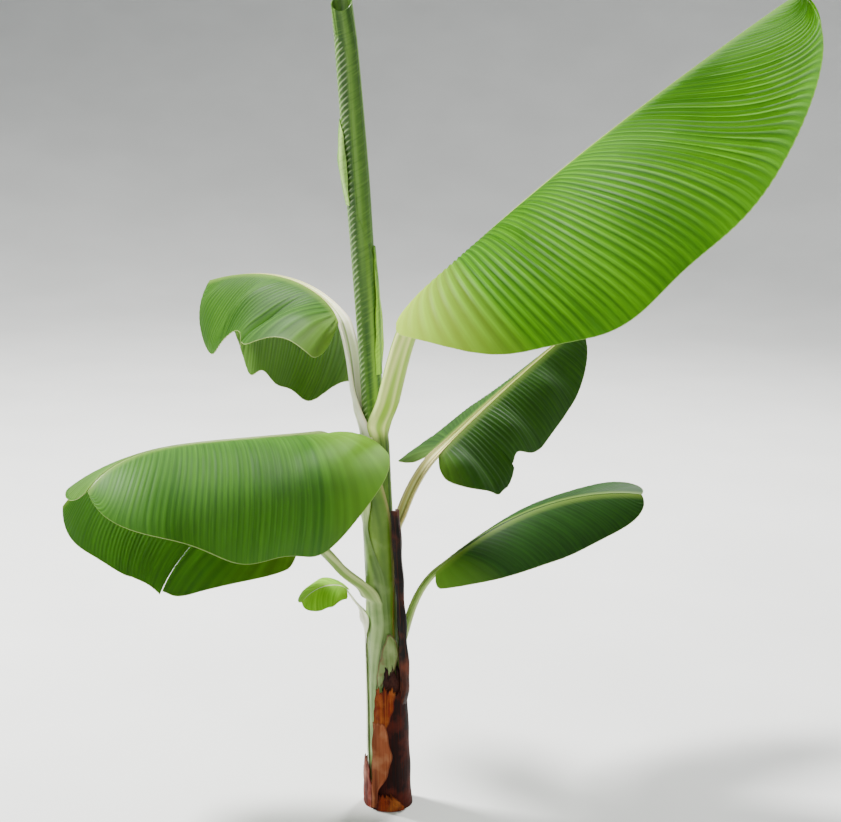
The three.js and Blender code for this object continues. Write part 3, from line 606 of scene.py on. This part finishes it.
def blade_grid(leaf, rib, half, hand, surface):
    """Points of a half blade, columns along the rib and rows out along each vein, with their map,
    their distance from the margin, their pleats and the torn columns."""
    count = max(30, round(leaf["blade"] / MM / surface.column_step))
    columns, torn = blade_columns(half, count)
    along_rib = np.array([c["u"] for c in columns])[:, None]
    v = np.linspace(0, 1, surface.rows + 1)[None, :]
    reach_forward = half.get("slant", leaf["slant"]) * vein_length(leaf, half, along_rib)
    u = along_rib + (reach_forward * half["width"] / leaf["blade"] * ease(along_rib / FORWARD_RUN)
                     * (1 - (1 - v) ** 1.5))
    u = np.clip(u, 0, 1)
    at = rib_at(rib, u)
    least_length = 1.5
    length = np.maximum(vein_length(leaf, half, u) * half["width"], least_length)
    for place, reach, nipped in half.get("nips", ()):
        length = length * (1 - nipped * np.exp(-((u - place) / reach) ** 2))
    rounded = np.clip(u / half.get("rounding", BASE_ROUNDING), 0, 1)
    length = length * np.sqrt(np.maximum(1 - (1 - rounded) ** 2, 0.01))
    sweep = np.radians(vein_sweep(leaf, u))
    slope = np.radians(mix(*half["slope"], u))
    share = length / half["width"]
    bend = (np.radians(mix(*half["hang"], u)) - slope) * share
    bend = np.where(np.abs(bend) < 1e-4, 1e-4, bend)
    reach = length * (np.sin(slope + bend * v) - np.sin(slope)) / bend
    rise = length * (np.cos(slope + bend * v) - np.cos(slope)) / bend
    rise = rise + rise_of_waves(half, along_rib, u, v, share)
    forward_by = reach * np.sin(sweep)
    side_by = rib_radius(leaf, u) * RIB_SEAT + reach * np.cos(sweep)
    for k, column in enumerate(columns):
        tear = column.get("tear")
        if not tear:
            continue
        opening = np.clip((v[0] - tear["start"]) / (1 - tear["start"]), 0, 1)
        drop = length[k] * math.sin(math.radians(tear["drop"])) * opening ** 1.5
        rise[k] -= column["follow"] * drop
        forward_by[k] += (column["after"] - 0.5) * column["follow"] * tear["gap"] * opening
    points = (at["place"] + hand * side_by[..., None] * at["side"]
              + forward_by[..., None] * at["forward"] + rise[..., None] * at["up"])
    normal = unit(np.cross(np.gradient(points, axis=0), np.gradient(points, axis=1)) + 1e-9)
    s = along_rib * leaf["blade"]
    pleats, ridge = pleats_of(leaf, s, v, length, hand, surface)
    points = points + pleats[..., None] * normal * min(1, leaf["blade"] / 300)
    return points, np.stack([s + 0 * v, v * length], -1), (1 - v) * length, ridge, torn


def make_half(leaf, rib, hand, materials, surface):
    """Half a blade: thin, pleated along its veins, with its tears open."""
    side = "left" if hand > 0 else "right"
    points, uv, from_margin, ridge, torn = blade_grid(leaf, rib, leaf[side], hand, surface)
    name = f"{leaf['name']}_{side}_half"
    piece = grid_piece(name + "_blade", points, uv, from_margin / MM, ridge, torn=torn)
    return finish_piece(piece, materials, "leaf_blade", name, thick=MM * surface.blade_thickness)


def tube_points(radii, bottom, top, around, step, relief):
    """A closed round skin between two heights, and its map in millimetres."""
    heights = np.linspace(bottom, top, int((top - bottom) / step) + 1)
    turn, height = np.meshgrid(np.linspace(0, 360, around + 1), heights, indexing="ij")
    radius = smooth_along(radii, height) + relief(turn, height)
    points = stem_axis(height) + radius[..., None] * compass(turn)
    return points, np.stack([turn / 360 * ROUND_STEM, height], -1)


def open_roll(points, uv, slant, head, depth, wall):
    """Slants the top of a skin down to one heading, and turns it in over the rim to a depth,
    with a wall that grows thicker downwards."""
    turn = uv[..., 0] / ROUND_STEM * 360
    top = points[:, -1:, 2]
    near_top = np.clip((points[..., 2] - (top - depth)) / depth, 0, 1)
    points[..., 2] -= near_top * slant * (1 + np.cos(np.radians(turn - head))) / 2
    centre = stem_axis(points[:, -1, 2])
    inside, inside_uv = [], []
    sunk = points[:, -1] - centre
    for share in np.linspace(0, 1, ROLL_RINGS):
        size = 1 - (wall + 2.4 * share) / np.linalg.norm(sunk, axis=1, keepdims=True)
        low = centre + sunk * size - np.array([0, 0, depth * share ** 1.5])
        low[:, :2] += (stem_axis(low[:, 2]) - stem_axis(centre[:, 2]))[:, :2]
        inside.append(low)
        inside_uv.append(uv[:, -1] + np.array([0, depth * share]))
    points = np.concatenate([points, np.stack(inside, 1)], 1)
    return points, np.concatenate([uv, np.stack(inside_uv, 1)], 1)


def stem_relief(turn, height):
    """Faint lengthwise ribs, and a top that draws in to the spear leaf."""
    ribs = 0.12 * np.sin(np.radians(turn) * 46 + height / 90)
    return ribs - 0.5 - CROWN_TUCK * ease((height - CROWN_TUCK_FROM) / (CROWN - CROWN_TUCK_FROM))


def spear_edge(turn):
    """Height of the margin of the roll's outer turn, which slants down across the front."""
    return np.interp((turn - 90) % 360 + 90, SPEAR_MARGIN[0], SPEAR_MARGIN[1])


def spear_ridges(turn, height):
    """Close oblique ridges on the band down the left of the front, from -1 to 1."""
    spacing, slant = 8, 34
    band = np.interp(height, SPEAR_BAND[0], SPEAR_BAND[1])
    ridges = np.sin(2 * np.pi * (height / spacing - turn / slant) + 0.5 * np.sin(height / 37))
    return ridges * ease((band - turn) / 26) * ease((turn - 176) / 22)


def spear_relief(turn, height):
    """A turn of leaf that ends at a slanting margin, a second one higher up, and the ridges."""
    low_turn = ease((spear_edge(turn) - height) / 2.5)
    band = np.interp(height, SPEAR_BAND[0], SPEAR_BAND[1])
    high_turn = ease((band - turn) / 3) * ease((turn - 120) / 60) * (1 - low_turn)
    long_ribs = 0.1 * np.sin(np.radians(turn) * 17 + height / 140)
    return 1.1 * low_turn + 0.9 * high_turn - 0.9 + 0.45 * spear_ridges(turn, height) + long_ribs


def shell_points(shell):
    """A papery shell between two margins, with a ragged top and a curled edge, and each point's
    distance from the nearest margin."""
    heights, *columns = np.array(shell["rows"], float).T
    rows = max(14, int((heights[-1] - heights[0]) / SHELL_STEP))
    place = np.linspace(-1, 1, SHELL_COLUMNS + 1)[:, None]
    share = np.linspace(0, 1, rows + 1)[None, :]
    phase = heights[-1]
    uneven = np.sin(place * 9 + phase) + 0.6 * np.sin(place * 23 + 2) + 0.4 * np.sin(place * 51)
    top = heights[-1] - shell["ragged"] * (0.8 + 0.5 * uneven)
    height = mix(heights[0] + 0 * place, top, share)
    low, high, clear, curl = (sum(np.interp(height + step, heights, column)
                                  for step in (-4, 0, 4)) / 3 for column in columns)
    wavy = 1.2 * np.sin(share * 23 + phase) * np.abs(place) ** 2
    turn = mix(low, high, (place + 1) / 2) + wavy
    bulge = 0.4 * np.sin(share * 17 + place * 4) + curl * np.clip(place, 0, 1) ** 4
    radius = smooth_along(shell["hugs"], height) + clear + shell["wall"] / 2 + bulge
    points = stem_axis(height) + radius[..., None] * compass(turn)
    uv = np.stack([turn * 0.5, height], -1)
    from_side = (1 - np.abs(place)) * np.radians(high - low) / 2 * radius
    return points, uv, np.minimum(from_side, top - height) / MM


def dead_stalk_points():
    """A shrivelled gutter beside the stem, whose foot sinks in under the dry sheath."""
    stalk = DEAD_STALK
    low, high = stalk["span"]
    back, side = compass(stalk["head"]), compass(stalk["head"] + 90)
    turns = np.radians(np.linspace(-OPEN_WRAP, OPEN_WRAP, stalk["across"]))
    rings = []
    for share in np.linspace(0, 1, stalk["rings"]):
        height = mix(low, high, share)
        outer = mix(*stalk["radius"], share) * (1 + 0.1 * math.sin(share * 31))
        sunk = stalk["sunk"] * ease((low + stalk["sunk_length"] - height) / stalk["sunk_length"])
        centre = stem_axis(height) + back * (mix(*stalk["out"], share) - sunk)
        shrink = 1 - 0.1 * np.cos(turns * 5 + share * 6)
        outside = arc(centre, back, side, outer * shrink, turns)
        inside = arc(centre, back, side, outer * GUTTER * shrink, turns)
        rings.append(np.vstack([outside, inside[::-1], outside[:1]]))
    points = np.array(rings).transpose(1, 0, 2)
    between = 1.6
    uv = np.meshgrid(np.arange(points.shape[0]) * between, np.linspace(low, high, stalk["rings"]),
                     indexing="ij")
    return points, np.stack(uv, -1)


def streaks(tree, coordinates, wide, long, detail=2.0):
    """A pattern drawn out along a surface, whose streaks are about so many millimetres wide and
    long. Real veins and fibres are well under 1 mm wide, too fine to show in the render, so the
    finest streaks are drawn as coarse as 1 to 3 mm."""
    drawn_out = add_node(tree, "ShaderNodeMapping",
                         {"Vector": coordinates, "Scale": (MM / wide, MM / long, 1)})
    made = add_node(tree, "ShaderNodeTexNoise",
                    {"Vector": drawn_out.outputs["Vector"], "Scale": 1.0, "Detail": detail,
                     "Roughness": 0.55}, noise_dimensions="2D")
    return made.outputs["Fac"]


def blotches(tree, size, detail=2.0):
    """A pattern in the object's own space, whose blotches are about so many millimetres across."""
    place = add_node(tree, "ShaderNodeTexCoord").outputs["Object"]
    made = add_node(tree, "ShaderNodeTexNoise",
                    {"Vector": place, "Scale": MM / size, "Detail": detail})
    return made.outputs["Fac"]


def coats(tree, tone, *layers):
    """Lays colours over a tone, one after another. A layer is its colour, the pattern that deals
    it out, the pattern's two values between which it comes in, and its share at both."""
    for colour, pattern, (first, last), (least, most) in layers:
        share = add_node(tree, "ShaderNodeMapRange",
                         {"Value": pattern, "From Min": first, "From Max": last, "To Min": least,
                          "To Max": most}, clamp=True)
        laid = add_node(tree, "ShaderNodeMix", {0: share.outputs["Result"], 6: tone, 7: colour},
                        data_type="RGBA")
        tone = laid.outputs[2]
    return tone


def skin_of(tree, tone, rough, relief, gloss=0.5):
    """The shader that all parts share. rough is a pattern, two of its values and the roughness at
    both, and relief is a pattern, its strength and its depth in millimetres."""
    pattern, first, last, smooth, dull = rough
    roughness = add_node(tree, "ShaderNodeMapRange",
                         {"Value": pattern, "From Min": first, "From Max": last, "To Min": smooth,
                          "To Max": dull}, clamp=True)
    height, strength, depth = relief
    bump = add_node(tree, "ShaderNodeBump",
                    {"Height": height, "Strength": strength, "Distance": depth / MM})
    skin = add_node(tree, "ShaderNodeBsdfPrincipled",
                    {"Base Color": tone, "Roughness": roughness.outputs["Result"], "IOR": 1.45,
                     "Normal": bump.outputs["Normal"], "Specular IOR Level": gloss})
    return skin.outputs["BSDF"]


def start_material(name):
    """An empty material, its tree, its piece's map and the mark kept at the piece's points."""
    material = bpy.data.materials.new(name)
    material.use_nodes = True
    tree = material.node_tree
    tree.nodes.clear()
    uv = add_node(tree, "ShaderNodeUVMap", uv_map="surface_map").outputs["UV"]
    mark = add_node(tree, "ShaderNodeAttribute", attribute_name="mark").outputs["Fac"]
    return material, tree, uv, mark


def leaf_blade_material(name, leaf, under=False):
    """Living banana leaf: waxed, satin skin over close parallel veins that run out from the rib.
    The veins streak it, the pleats between them carry painted highlights on their crests and
    painted shade in their valleys, the margin dries to a thin pale line, and sun comes through the
    thin blade."""
    material, tree, uv, from_margin = start_material(name)
    ridge = add_node(tree, "ShaderNodeAttribute", attribute_name="ridge").outputs["Fac"]
    along_rib, from_rib = add_node(tree, "ShaderNodeSeparateXYZ", {"Vector": uv}).outputs[:2]
    vein = streaks(tree, uv, 3.03, 200)
    band = streaks(tree, uv, 12.5, 333, detail=1.0)
    cloud = blotches(tree, 111)
    dark, light = map(srgb, leaf["blade_tint"])
    middle = tuple(math.sqrt(a * b) for a, b in zip(dark, light))
    pleat_valley_shade = (*(0.6 * part for part in dark[:3]), 1.0)
    pleat_crest_highlight = (*(min(1.0, 1.7 * part + 0.01) for part in light[:3]), 1.0)
    pleated = min(1.0, 0.15 + 0.5 * leaf["pleats"])
    share, reach = leaf["pale_base"]
    pale = srgb(leaf.get("pale_tint", "#cfe63e"))
    tone = coats(tree, middle,
                 (light, band, (0.3, 0.7), (0.1, 0.5)),
                 (dark, cloud, (0.4, 0.68), (0, 0.5)),
                 (light, vein, (0.54, 0.7), (0, 0.25)),
                 (dark, vein, (0.46, 0.3), (0, 0.3)),
                 # painted shade in the pleats' valleys and painted highlights on their crests
                 (pleat_valley_shade, ridge, (0, -1), (0, 0.85 * pleated)),
                 (pleat_crest_highlight, ridge, (0.5, 1.1), (0, 0.3 * pleated)),
                 (pale, along_rib, (reach / MM, 0), (0, share)),
                 (srgb("#a4c24e"), from_rib, (0.01, 0), (0, 0.3)))
    if under:
        tone = coats(tree, tone, (srgb("#8fae56"), vein, (0.3, 0.7), (0.1, 0.22)))
    tone = coats(tree, tone, (srgb("#ccd884"), from_margin, (0.001, 0.0004), (0, 0.5)))
    skin = skin_of(tree, tone, (band, 0.3, 0.7, 0.52, 0.62), (vein, 0.35, 0.8), 0.18)
    sunlit = coats(tree, tone, (srgb("#b4ee20"), vein, (0.3, 0.7), (0.45, 0.6)))
    through = add_node(tree, "ShaderNodeBsdfTranslucent", {"Color": sunlit})
    both = add_node(tree, "ShaderNodeMixShader",
                    {0: leaf["glow"], 1: skin, 2: through.outputs["BSDF"]})
    add_node(tree, "ShaderNodeOutputMaterial", {"Surface": both.outputs["Shader"]})
    return material


def leaf_stalk_material(name, leaf):
    """Living leaf stalk and the sheath it grows from: smooth, waxed, fleshy tissue with fine
    lengthwise fibres, paler and faintly flushed with brown along the lips of its gutter, with
    painted shade along the gutter's floor. The sheath is greener, with a dusty bloom in patches."""
    sheath, stalk = ([srgb(tint) for tint in leaf[key]] for key in ("sheath_tint", "stalk_tint"))
    rib = [srgb(tint) for tint in leaf.get("rib_tint", leaf["stalk_tint"])]
    lips = srgb(leaf.get("lip_tint", "#5f7a34"))
    # painted shade: the tint laid along the gutter's floor
    floor = srgb(leaf.get("gutter_shade_tint", leaf["sheath_tint"][1]))
    material, tree, uv, along_limb = start_material(name)
    fibre = streaks(tree, uv, 1.11, 111)
    broad = streaks(tree, uv, 3.85, 333, detail=1.0)
    cloud = blotches(tree, 41.7, 3.0)
    banded = [coats(tree, deep, (light, broad, (0.35, 0.65), (0, 1))) for deep, light in
              (sheath, stalk, rib)]
    green = coats(tree, banded[0],
                  (srgb("#b0c284"), cloud, (0.48, 0.68), (0, 0.32)),
                  (sheath[0], cloud, (0.5, 0.34), (0, 0.4)),
                  (sheath[1], fibre, (0.5, 0.75), (0, 0.3)))
    # The map is 20 mm wide on the outside and as wide in the gutter: the lips lie at -10, 10 and
    # 30 mm, and the gutter's floor at 20 mm.
    across = add_node(tree, "ShaderNodeSeparateXYZ", {"Vector": uv}).outputs["X"]
    shifted = add_node(tree, "ShaderNodeMath", {0: across, 1: 0.01}, operation="ADD").outputs[0]
    from_lip = add_node(tree, "ShaderNodeMath", {0: shifted, 1: 0.01}, operation="PINGPONG")
    in_gutter_shade = add_node(tree, "ShaderNodeMath", {0: across, 1: 0.02, 2: 0.0016},
                        operation="COMPARE")
    # The last coat is painted shade along the gutter's floor.
    tone = coats(tree, green,
                 (banded[1], along_limb, (0, 1), (0, 1)),
                 (banded[2], along_limb, (1, 2), (0, 1)),
                 (lips, from_lip.outputs[0], (0.0012, 0.0004), (0, 0.4)),
                 (floor, in_gutter_shade.outputs[0], (0, 1), (0, 0.5)))
    skin = skin_of(tree, tone, (broad, 0.3, 0.7, 0.34, 0.46), (fibre, 0.3, 0.5), 0.35)
    add_node(tree, "ShaderNodeOutputMaterial", {"Surface": skin})
    return material


def false_stem_material(name, deep, light, bloom):
    """Living leaf sheaths wrapped to a false stem: waxed and fleshy, olive to sage, with a dusty
    bloom in patches, fine lengthwise fibres, and brown flecks where older sheaths dry out."""
    material, tree, uv, from_margin = start_material(name)
    fibre = streaks(tree, uv, 1.92, 143)
    cloud = blotches(tree, 38.5, 3.0)
    tone = coats(tree, deep,
                 (light, streaks(tree, uv, 14.3, 250), (0.35, 0.65), (0, 1)),
                 (bloom, cloud, (0.45, 0.68), (0, 0.7)),
                 (bloom, fibre, (0.5, 0.75), (0, 0.35)),
                 (srgb("#6e5a34"), blotches(tree, 11.11, 4.0), (0.58, 0.7), (0, 0.6)),
                 (srgb("#5e4526"), from_margin, (0.003, 0.0008), (0, 0.8)))
    skin = skin_of(tree, tone, (cloud, 0.4, 0.7, 0.34, 0.55), (fibre, 0.35, 0.6), 0.35)
    add_node(tree, "ShaderNodeOutputMaterial", {"Surface": skin})
    return material


def spear_leaf_material(name, dark, light, pale):
    """A young leaf still rolled up: satin and pale, with the veins of the roll running round it
    at a slant, long soft bands of light and dark, and ridges with painted highlights on their tops
    and painted shade between them."""
    dark, light, pale = map(srgb, (dark, light, pale))
    material, tree, uv, ridge = start_material(name)
    slanted = add_node(tree, "ShaderNodeMapping",
                       {"Vector": uv, "Rotation": (0, 0, math.radians(-22))})
    vein = streaks(tree, slanted.outputs["Vector"], 55.56, 3.333)
    tone = coats(tree, dark,
                 (light, streaks(tree, uv, 18.18, 625, detail=1.0), (0.36, 0.64), (0, 1)),
                 (light, vein, (0.5, 0.7), (0, 0.4)),
                 (dark, vein, (0.45, 0.3), (0, 0.35)),
                 # painted highlights on the ridges' tops and painted shade between them
                 (pale, ridge, (0.35, 1), (0, 0.45)),
                 (dark, ridge, (-0.1, -1), (0, 0.5)))
    skin = skin_of(tree, tone, (vein, 0.3, 0.7, 0.36, 0.5), (vein, 0.5, 0.7))
    add_node(tree, "ShaderNodeOutputMaterial", {"Surface": skin})
    return material


def dry_sheath_material(name, deep, main, pale, rough=0.72):
    """Dead banana sheath: papery and matt with close lengthwise fibres, red-brown where it is
    thick, straw pink where it has bleached, and dark along its torn margins."""
    deep, main, pale = map(srgb, (deep, main, pale))
    material, tree, uv, from_margin = start_material(name)
    fibre = streaks(tree, uv, 1.429, 100, detail=4.0)
    tone = coats(tree, deep,
                 (main, streaks(tree, uv, 9.09, 200), (0.35, 0.62), (0, 1)),
                 (pale, blotches(tree, 38.5, 4.0), (0.48, 0.66), (0, 0.8)),
                 (pale, fibre, (0.55, 0.75), (0, 0.55)),
                 (deep, fibre, (0.42, 0.28), (0, 0.6)),
                 (deep, from_margin, (0.0022, 0.0004), (0, 0.7)))
    skin = skin_of(tree, tone, (fibre, 0.3, 0.7, rough - 0.12, rough + 0.1), (fibre, 0.7, 1), 0.18)
    add_node(tree, "ShaderNodeOutputMaterial", {"Surface": skin})
    return material


def backdrop_material(name):
    """Matt painted board: plain and pale with a very faint mottle."""
    material = bpy.data.materials.new(name)
    material.use_nodes = True
    tree = material.node_tree
    tree.nodes.clear()
    tone = coats(tree, srgb("#e2e2de"), (srgb("#e8e8e4"), blotches(tree, 333), (0.3, 0.7), (0, 1)))
    board = add_node(tree, "ShaderNodeBsdfPrincipled", {"Base Color": tone, "Roughness": 0.9})
    add_node(tree, "ShaderNodeOutputMaterial", {"Surface": board.outputs["BSDF"]})
    return material


class BananaSurface(bpy.types.PropertyGroup):
    """Sizes of the fine surface."""
    pleat_spacing: bpy.props.FloatProperty(
        name="Pleat spacing", description="Distance between two pleats of a blade",
        default=0.0085, min=0.004, max=0.04, precision=4, subtype="DISTANCE", unit="LENGTH")
    pleat_height: bpy.props.FloatProperty(
        name="Pleat height", description="Half the height of a pleat",
        default=0.0007, min=0.0, max=0.004, precision=4, subtype="DISTANCE", unit="LENGTH")
    blade_thickness: bpy.props.FloatProperty(
        name="Blade thickness", description="Thickness of a blade",
        default=0.0008, min=0.0002, max=0.003, precision=4, subtype="DISTANCE", unit="LENGTH")
    column_step: bpy.props.FloatProperty(
        name="Column step", description="Distance between two mesh columns along a rib",
        default=0.0015, min=0.001, max=0.02, precision=4, subtype="DISTANCE", unit="LENGTH")
    rows: bpy.props.IntProperty(
        name="Rows", description="Mesh rows from the rib to the margin", default=32, min=6, max=80)


class BananaColours(bpy.types.PropertyGroup):
    """Base colours of the parts that are not leaf blades."""
    stem_deep: bpy.props.FloatVectorProperty(
        name="Deep sheath", description="Deep olive of the false stem", subtype="COLOR", size=4,
        min=0, max=1, default=srgb("#304a08"))
    stem_light: bpy.props.FloatVectorProperty(
        name="Light sheath", description="Light green of the false stem", subtype="COLOR", size=4,
        min=0, max=1, default=srgb("#56761c"))
    stem_bloom: bpy.props.FloatVectorProperty(
        name="Bloom", description="Dusty sage patches of the false stem", subtype="COLOR", size=4,
        min=0, max=1, default=srgb("#809854"))


class PLANT_OT_stem(bpy.types.Operator):
    """Builds the false stem with the edges of its wrapped sheaths"""
    bl_idname = "plant.stem"
    bl_label = "False stem"

    def execute(self, context):
        colours = context.scene.banana_colours
        points, uv = tube_points(STEM_RADII, 0, CROWN, *STEM_MESH, stem_relief)
        piece = grid_piece("false_stem", points, uv, 1.0, capped=True)
        dress = false_stem_material("living leaf sheath, waxed", tuple(colours.stem_deep),
                                    tuple(colours.stem_light), tuple(colours.stem_bloom))
        finish_piece(piece, [dress], "stem", "stem")
        return {"FINISHED"}


class PLANT_OT_spear(bpy.types.Operator):
    """Builds the rolled spear leaf"""
    bl_idname = "plant.spear"
    bl_label = "Spear leaf"

    def execute(self, context):
        points, uv = tube_points(SPEAR_RADII, CROWN, SPEAR_TOP, *SPEAR_MESH, spear_relief)
        ridges = spear_ridges(uv[..., 0] / ROUND_STEM * 360, uv[..., 1])
        points, uv = open_roll(points, uv, SPEAR_SLANT, SPEAR_SLANT_HEAD, depth=60, wall=1.2)
        mark = np.pad(ridges, ((0, 0), (0, points.shape[1] - ridges.shape[1])))
        piece = grid_piece("rolled_spear_leaf", points, uv, mark, capped=True)
        dress = spear_leaf_material("young rolled leaf, satin", "#2c500f", "#648c32", "#c4d4a4")
        finish_piece(piece, [dress], "spear_leaf", "spear")
        return {"FINISHED"}


class PLANT_OT_shells(bpy.types.Operator):
    """Builds the loose margins of the spear leaf and the dry sheaths at the foot"""
    bl_idname = "plant.shells"
    bl_label = "Loose sheaths"

    def execute(self, context):
        dress = {finish: (dry_sheath_material("dead leaf sheath, " + kind, *tints), "dry_sheath")
                 for finish, kind, *tints in DRY_FINISHES}
        dress["bright margin"] = (spear_leaf_material("loose leaf margin, satin", "#5a8a14",
                                                      "#a2d23a", "#c4e070"), "spear_leaf")
        dress["green flap"] = (spear_leaf_material("loose outer leaf turn, satin", "#5c8c28",
                                                   "#a6ce68", "#d0e0a8"), "spear_leaf")
        dress["pale flap"] = (false_stem_material(
            "fading leaf sheath, papery", *map(srgb, ("#465c20", "#677e38", "#93a468"))), "stem")
        for shell in SHELLS:
            points, uv, mark = shell_points(shell)
            piece = grid_piece(shell["name"] + "_skin", points, uv, mark)
            material, slot = dress[shell["finish"]]
            finish_piece(piece, [material], slot, shell.get("node", shell["name"]),
                         thick=shell["wall"])
        return {"FINISHED"}


class PLANT_OT_dead_stalk(bpy.types.Operator):
    """Builds the dried stalk of a lost leaf"""
    bl_idname = "plant.dead_stalk"
    bl_label = "Dead stalk"

    def execute(self, context):
        points, uv = dead_stalk_points()
        piece = grid_piece("dead_stalk_strip", points, uv, 1.0, capped=True)
        dress = dry_sheath_material("dead leaf stalk, shrivelled", "#0d0705", "#24110b", "#6e321c",
                                    0.45)
        finish_piece(piece, [dress], "dry_sheath", "dead_stalk")
        return {"FINISHED"}


class PLANT_OT_leaf_stalks(bpy.types.Operator):
    """Builds the sheath, stalk and rib of each leaf"""
    bl_idname = "plant.leaf_stalks"
    bl_label = "Leaf stalks"

    def execute(self, context):
        for leaf in LEAVES:
            dress = leaf_stalk_material("living leaf stalk, " + leaf["name"], leaf)
            make_limb(leaf, walk_rib(leaf), dress)
        return {"FINISHED"}


class PLANT_OT_leaf_blades(bpy.types.Operator):
    """Builds the two half blades of each leaf"""
    bl_idname = "plant.leaf_blades"
    bl_label = "Leaf blades"

    def execute(self, context):
        surface = context.scene.banana_surface
        for leaf in LEAVES:
            rib = walk_rib(leaf)
            upper = leaf_blade_material("leaf blade, " + leaf["name"], leaf)
            under = leaf_blade_material("leaf underside, " + leaf["name"], leaf, under=True)
            for hand in (1, -1):
                make_half(leaf, rib, hand, [upper, under], surface)
        return {"FINISHED"}


class PLANT_OT_stage(bpy.types.Operator):
    """Sets the floor, the soft lights and the camera at the photograph's angle"""
    bl_idname = "plant.stage"
    bl_label = "Stage"

    def execute(self, context):
        deselect()
        bpy.ops.mesh.primitive_grid_add(x_subdivisions=100, y_subdivisions=100, size=30)
        floor = context.object
        flat, run, height = BOWL
        for vertex in floor.data.vertices:
            vertex.co.z = height * float(ease((vertex.co.xy.length - flat) / run))
        bpy.ops.object.shade_smooth()
        floor.name = "floor"
        floor.data.materials.append(backdrop_material("matt painted board"))
        for name, place, size, power in LIGHTS:
            bpy.ops.object.light_add(type="AREA", location=place)
            light = context.object
            light.name = light.data.name = name
            light.data.size = size
            light.data.energy = power
            aim = Vector(LIT_PLACE) - light.location
            light.rotation_euler = aim.to_track_quat("-Z", "Y").to_euler()
        world = bpy.data.worlds.new("room light")
        world.use_nodes = True
        background = world.node_tree.nodes["Background"]
        background.inputs["Color"].default_value = srgb("#e9eef2")
        background.inputs["Strength"].default_value = 0.5
        context.scene.world = world
        pitch, roll = math.radians(CAMERA["down"]), math.radians(CAMERA["roll"])
        forward = np.array([0, math.cos(pitch), -math.sin(pitch)])
        level, raised = np.array([1.0, 0, 0]), np.array([0, math.sin(pitch), math.cos(pitch)])
        right = math.cos(roll) * level + math.sin(roll) * raised
        above = -math.sin(roll) * level + math.cos(roll) * raised
        turn = Matrix(np.column_stack([right, above, -forward]).tolist()).to_4x4()
        bpy.ops.object.camera_add()
        camera = context.object
        camera.name = camera.data.name = "camera"
        camera.matrix_world = Matrix.Translation(CAMERA["place"]) @ turn
        camera.data.sensor_width = CAMERA["sensor"]
        camera.data.lens = CAMERA["sensor"] * CAMERA["focal_pixels"] / CAMERA["picture_width"]
        context.scene.camera = camera
        return {"FINISHED"}


STEPS = (PLANT_OT_stage, PLANT_OT_stem, PLANT_OT_spear, PLANT_OT_shells, PLANT_OT_dead_stalk,
         PLANT_OT_leaf_stalks, PLANT_OT_leaf_blades)


class PLANT_PT_panel(bpy.types.Panel):
    """Lists the steps that build the plant, and its sizes and colours"""
    bl_idname = "PLANT_PT_panel"
    bl_label = "Banana plant"
    bl_space_type = "VIEW_3D"
    bl_region_type = "UI"
    bl_category = "Plant"

    def draw(self, context):
        for step in STEPS:
            self.layout.operator(step.bl_idname)
        for group in (context.scene.banana_surface, context.scene.banana_colours):
            for key in group.bl_rna.properties.keys():
                if key not in ("rna_type", "name"):
                    self.layout.prop(group, key)


def register():
    for item in (BananaSurface, BananaColours, *STEPS, PLANT_PT_panel):
        bpy.utils.register_class(item)
    bpy.types.Scene.banana_surface = bpy.props.PointerProperty(type=BananaSurface)
    bpy.types.Scene.banana_colours = bpy.props.PointerProperty(type=BananaColours)


def unregister():
    del bpy.types.Scene.banana_surface
    del bpy.types.Scene.banana_colours
    for item in reversed((BananaSurface, BananaColours, *STEPS, PLANT_PT_panel)):
        bpy.utils.unregister_class(item)


def main():
    register()
    for step in STEPS:
        group, call = step.bl_idname.split(".")
        getattr(getattr(bpy.ops, group), call)()
    deselect()
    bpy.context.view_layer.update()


if __name__ == "__main__":
    main()
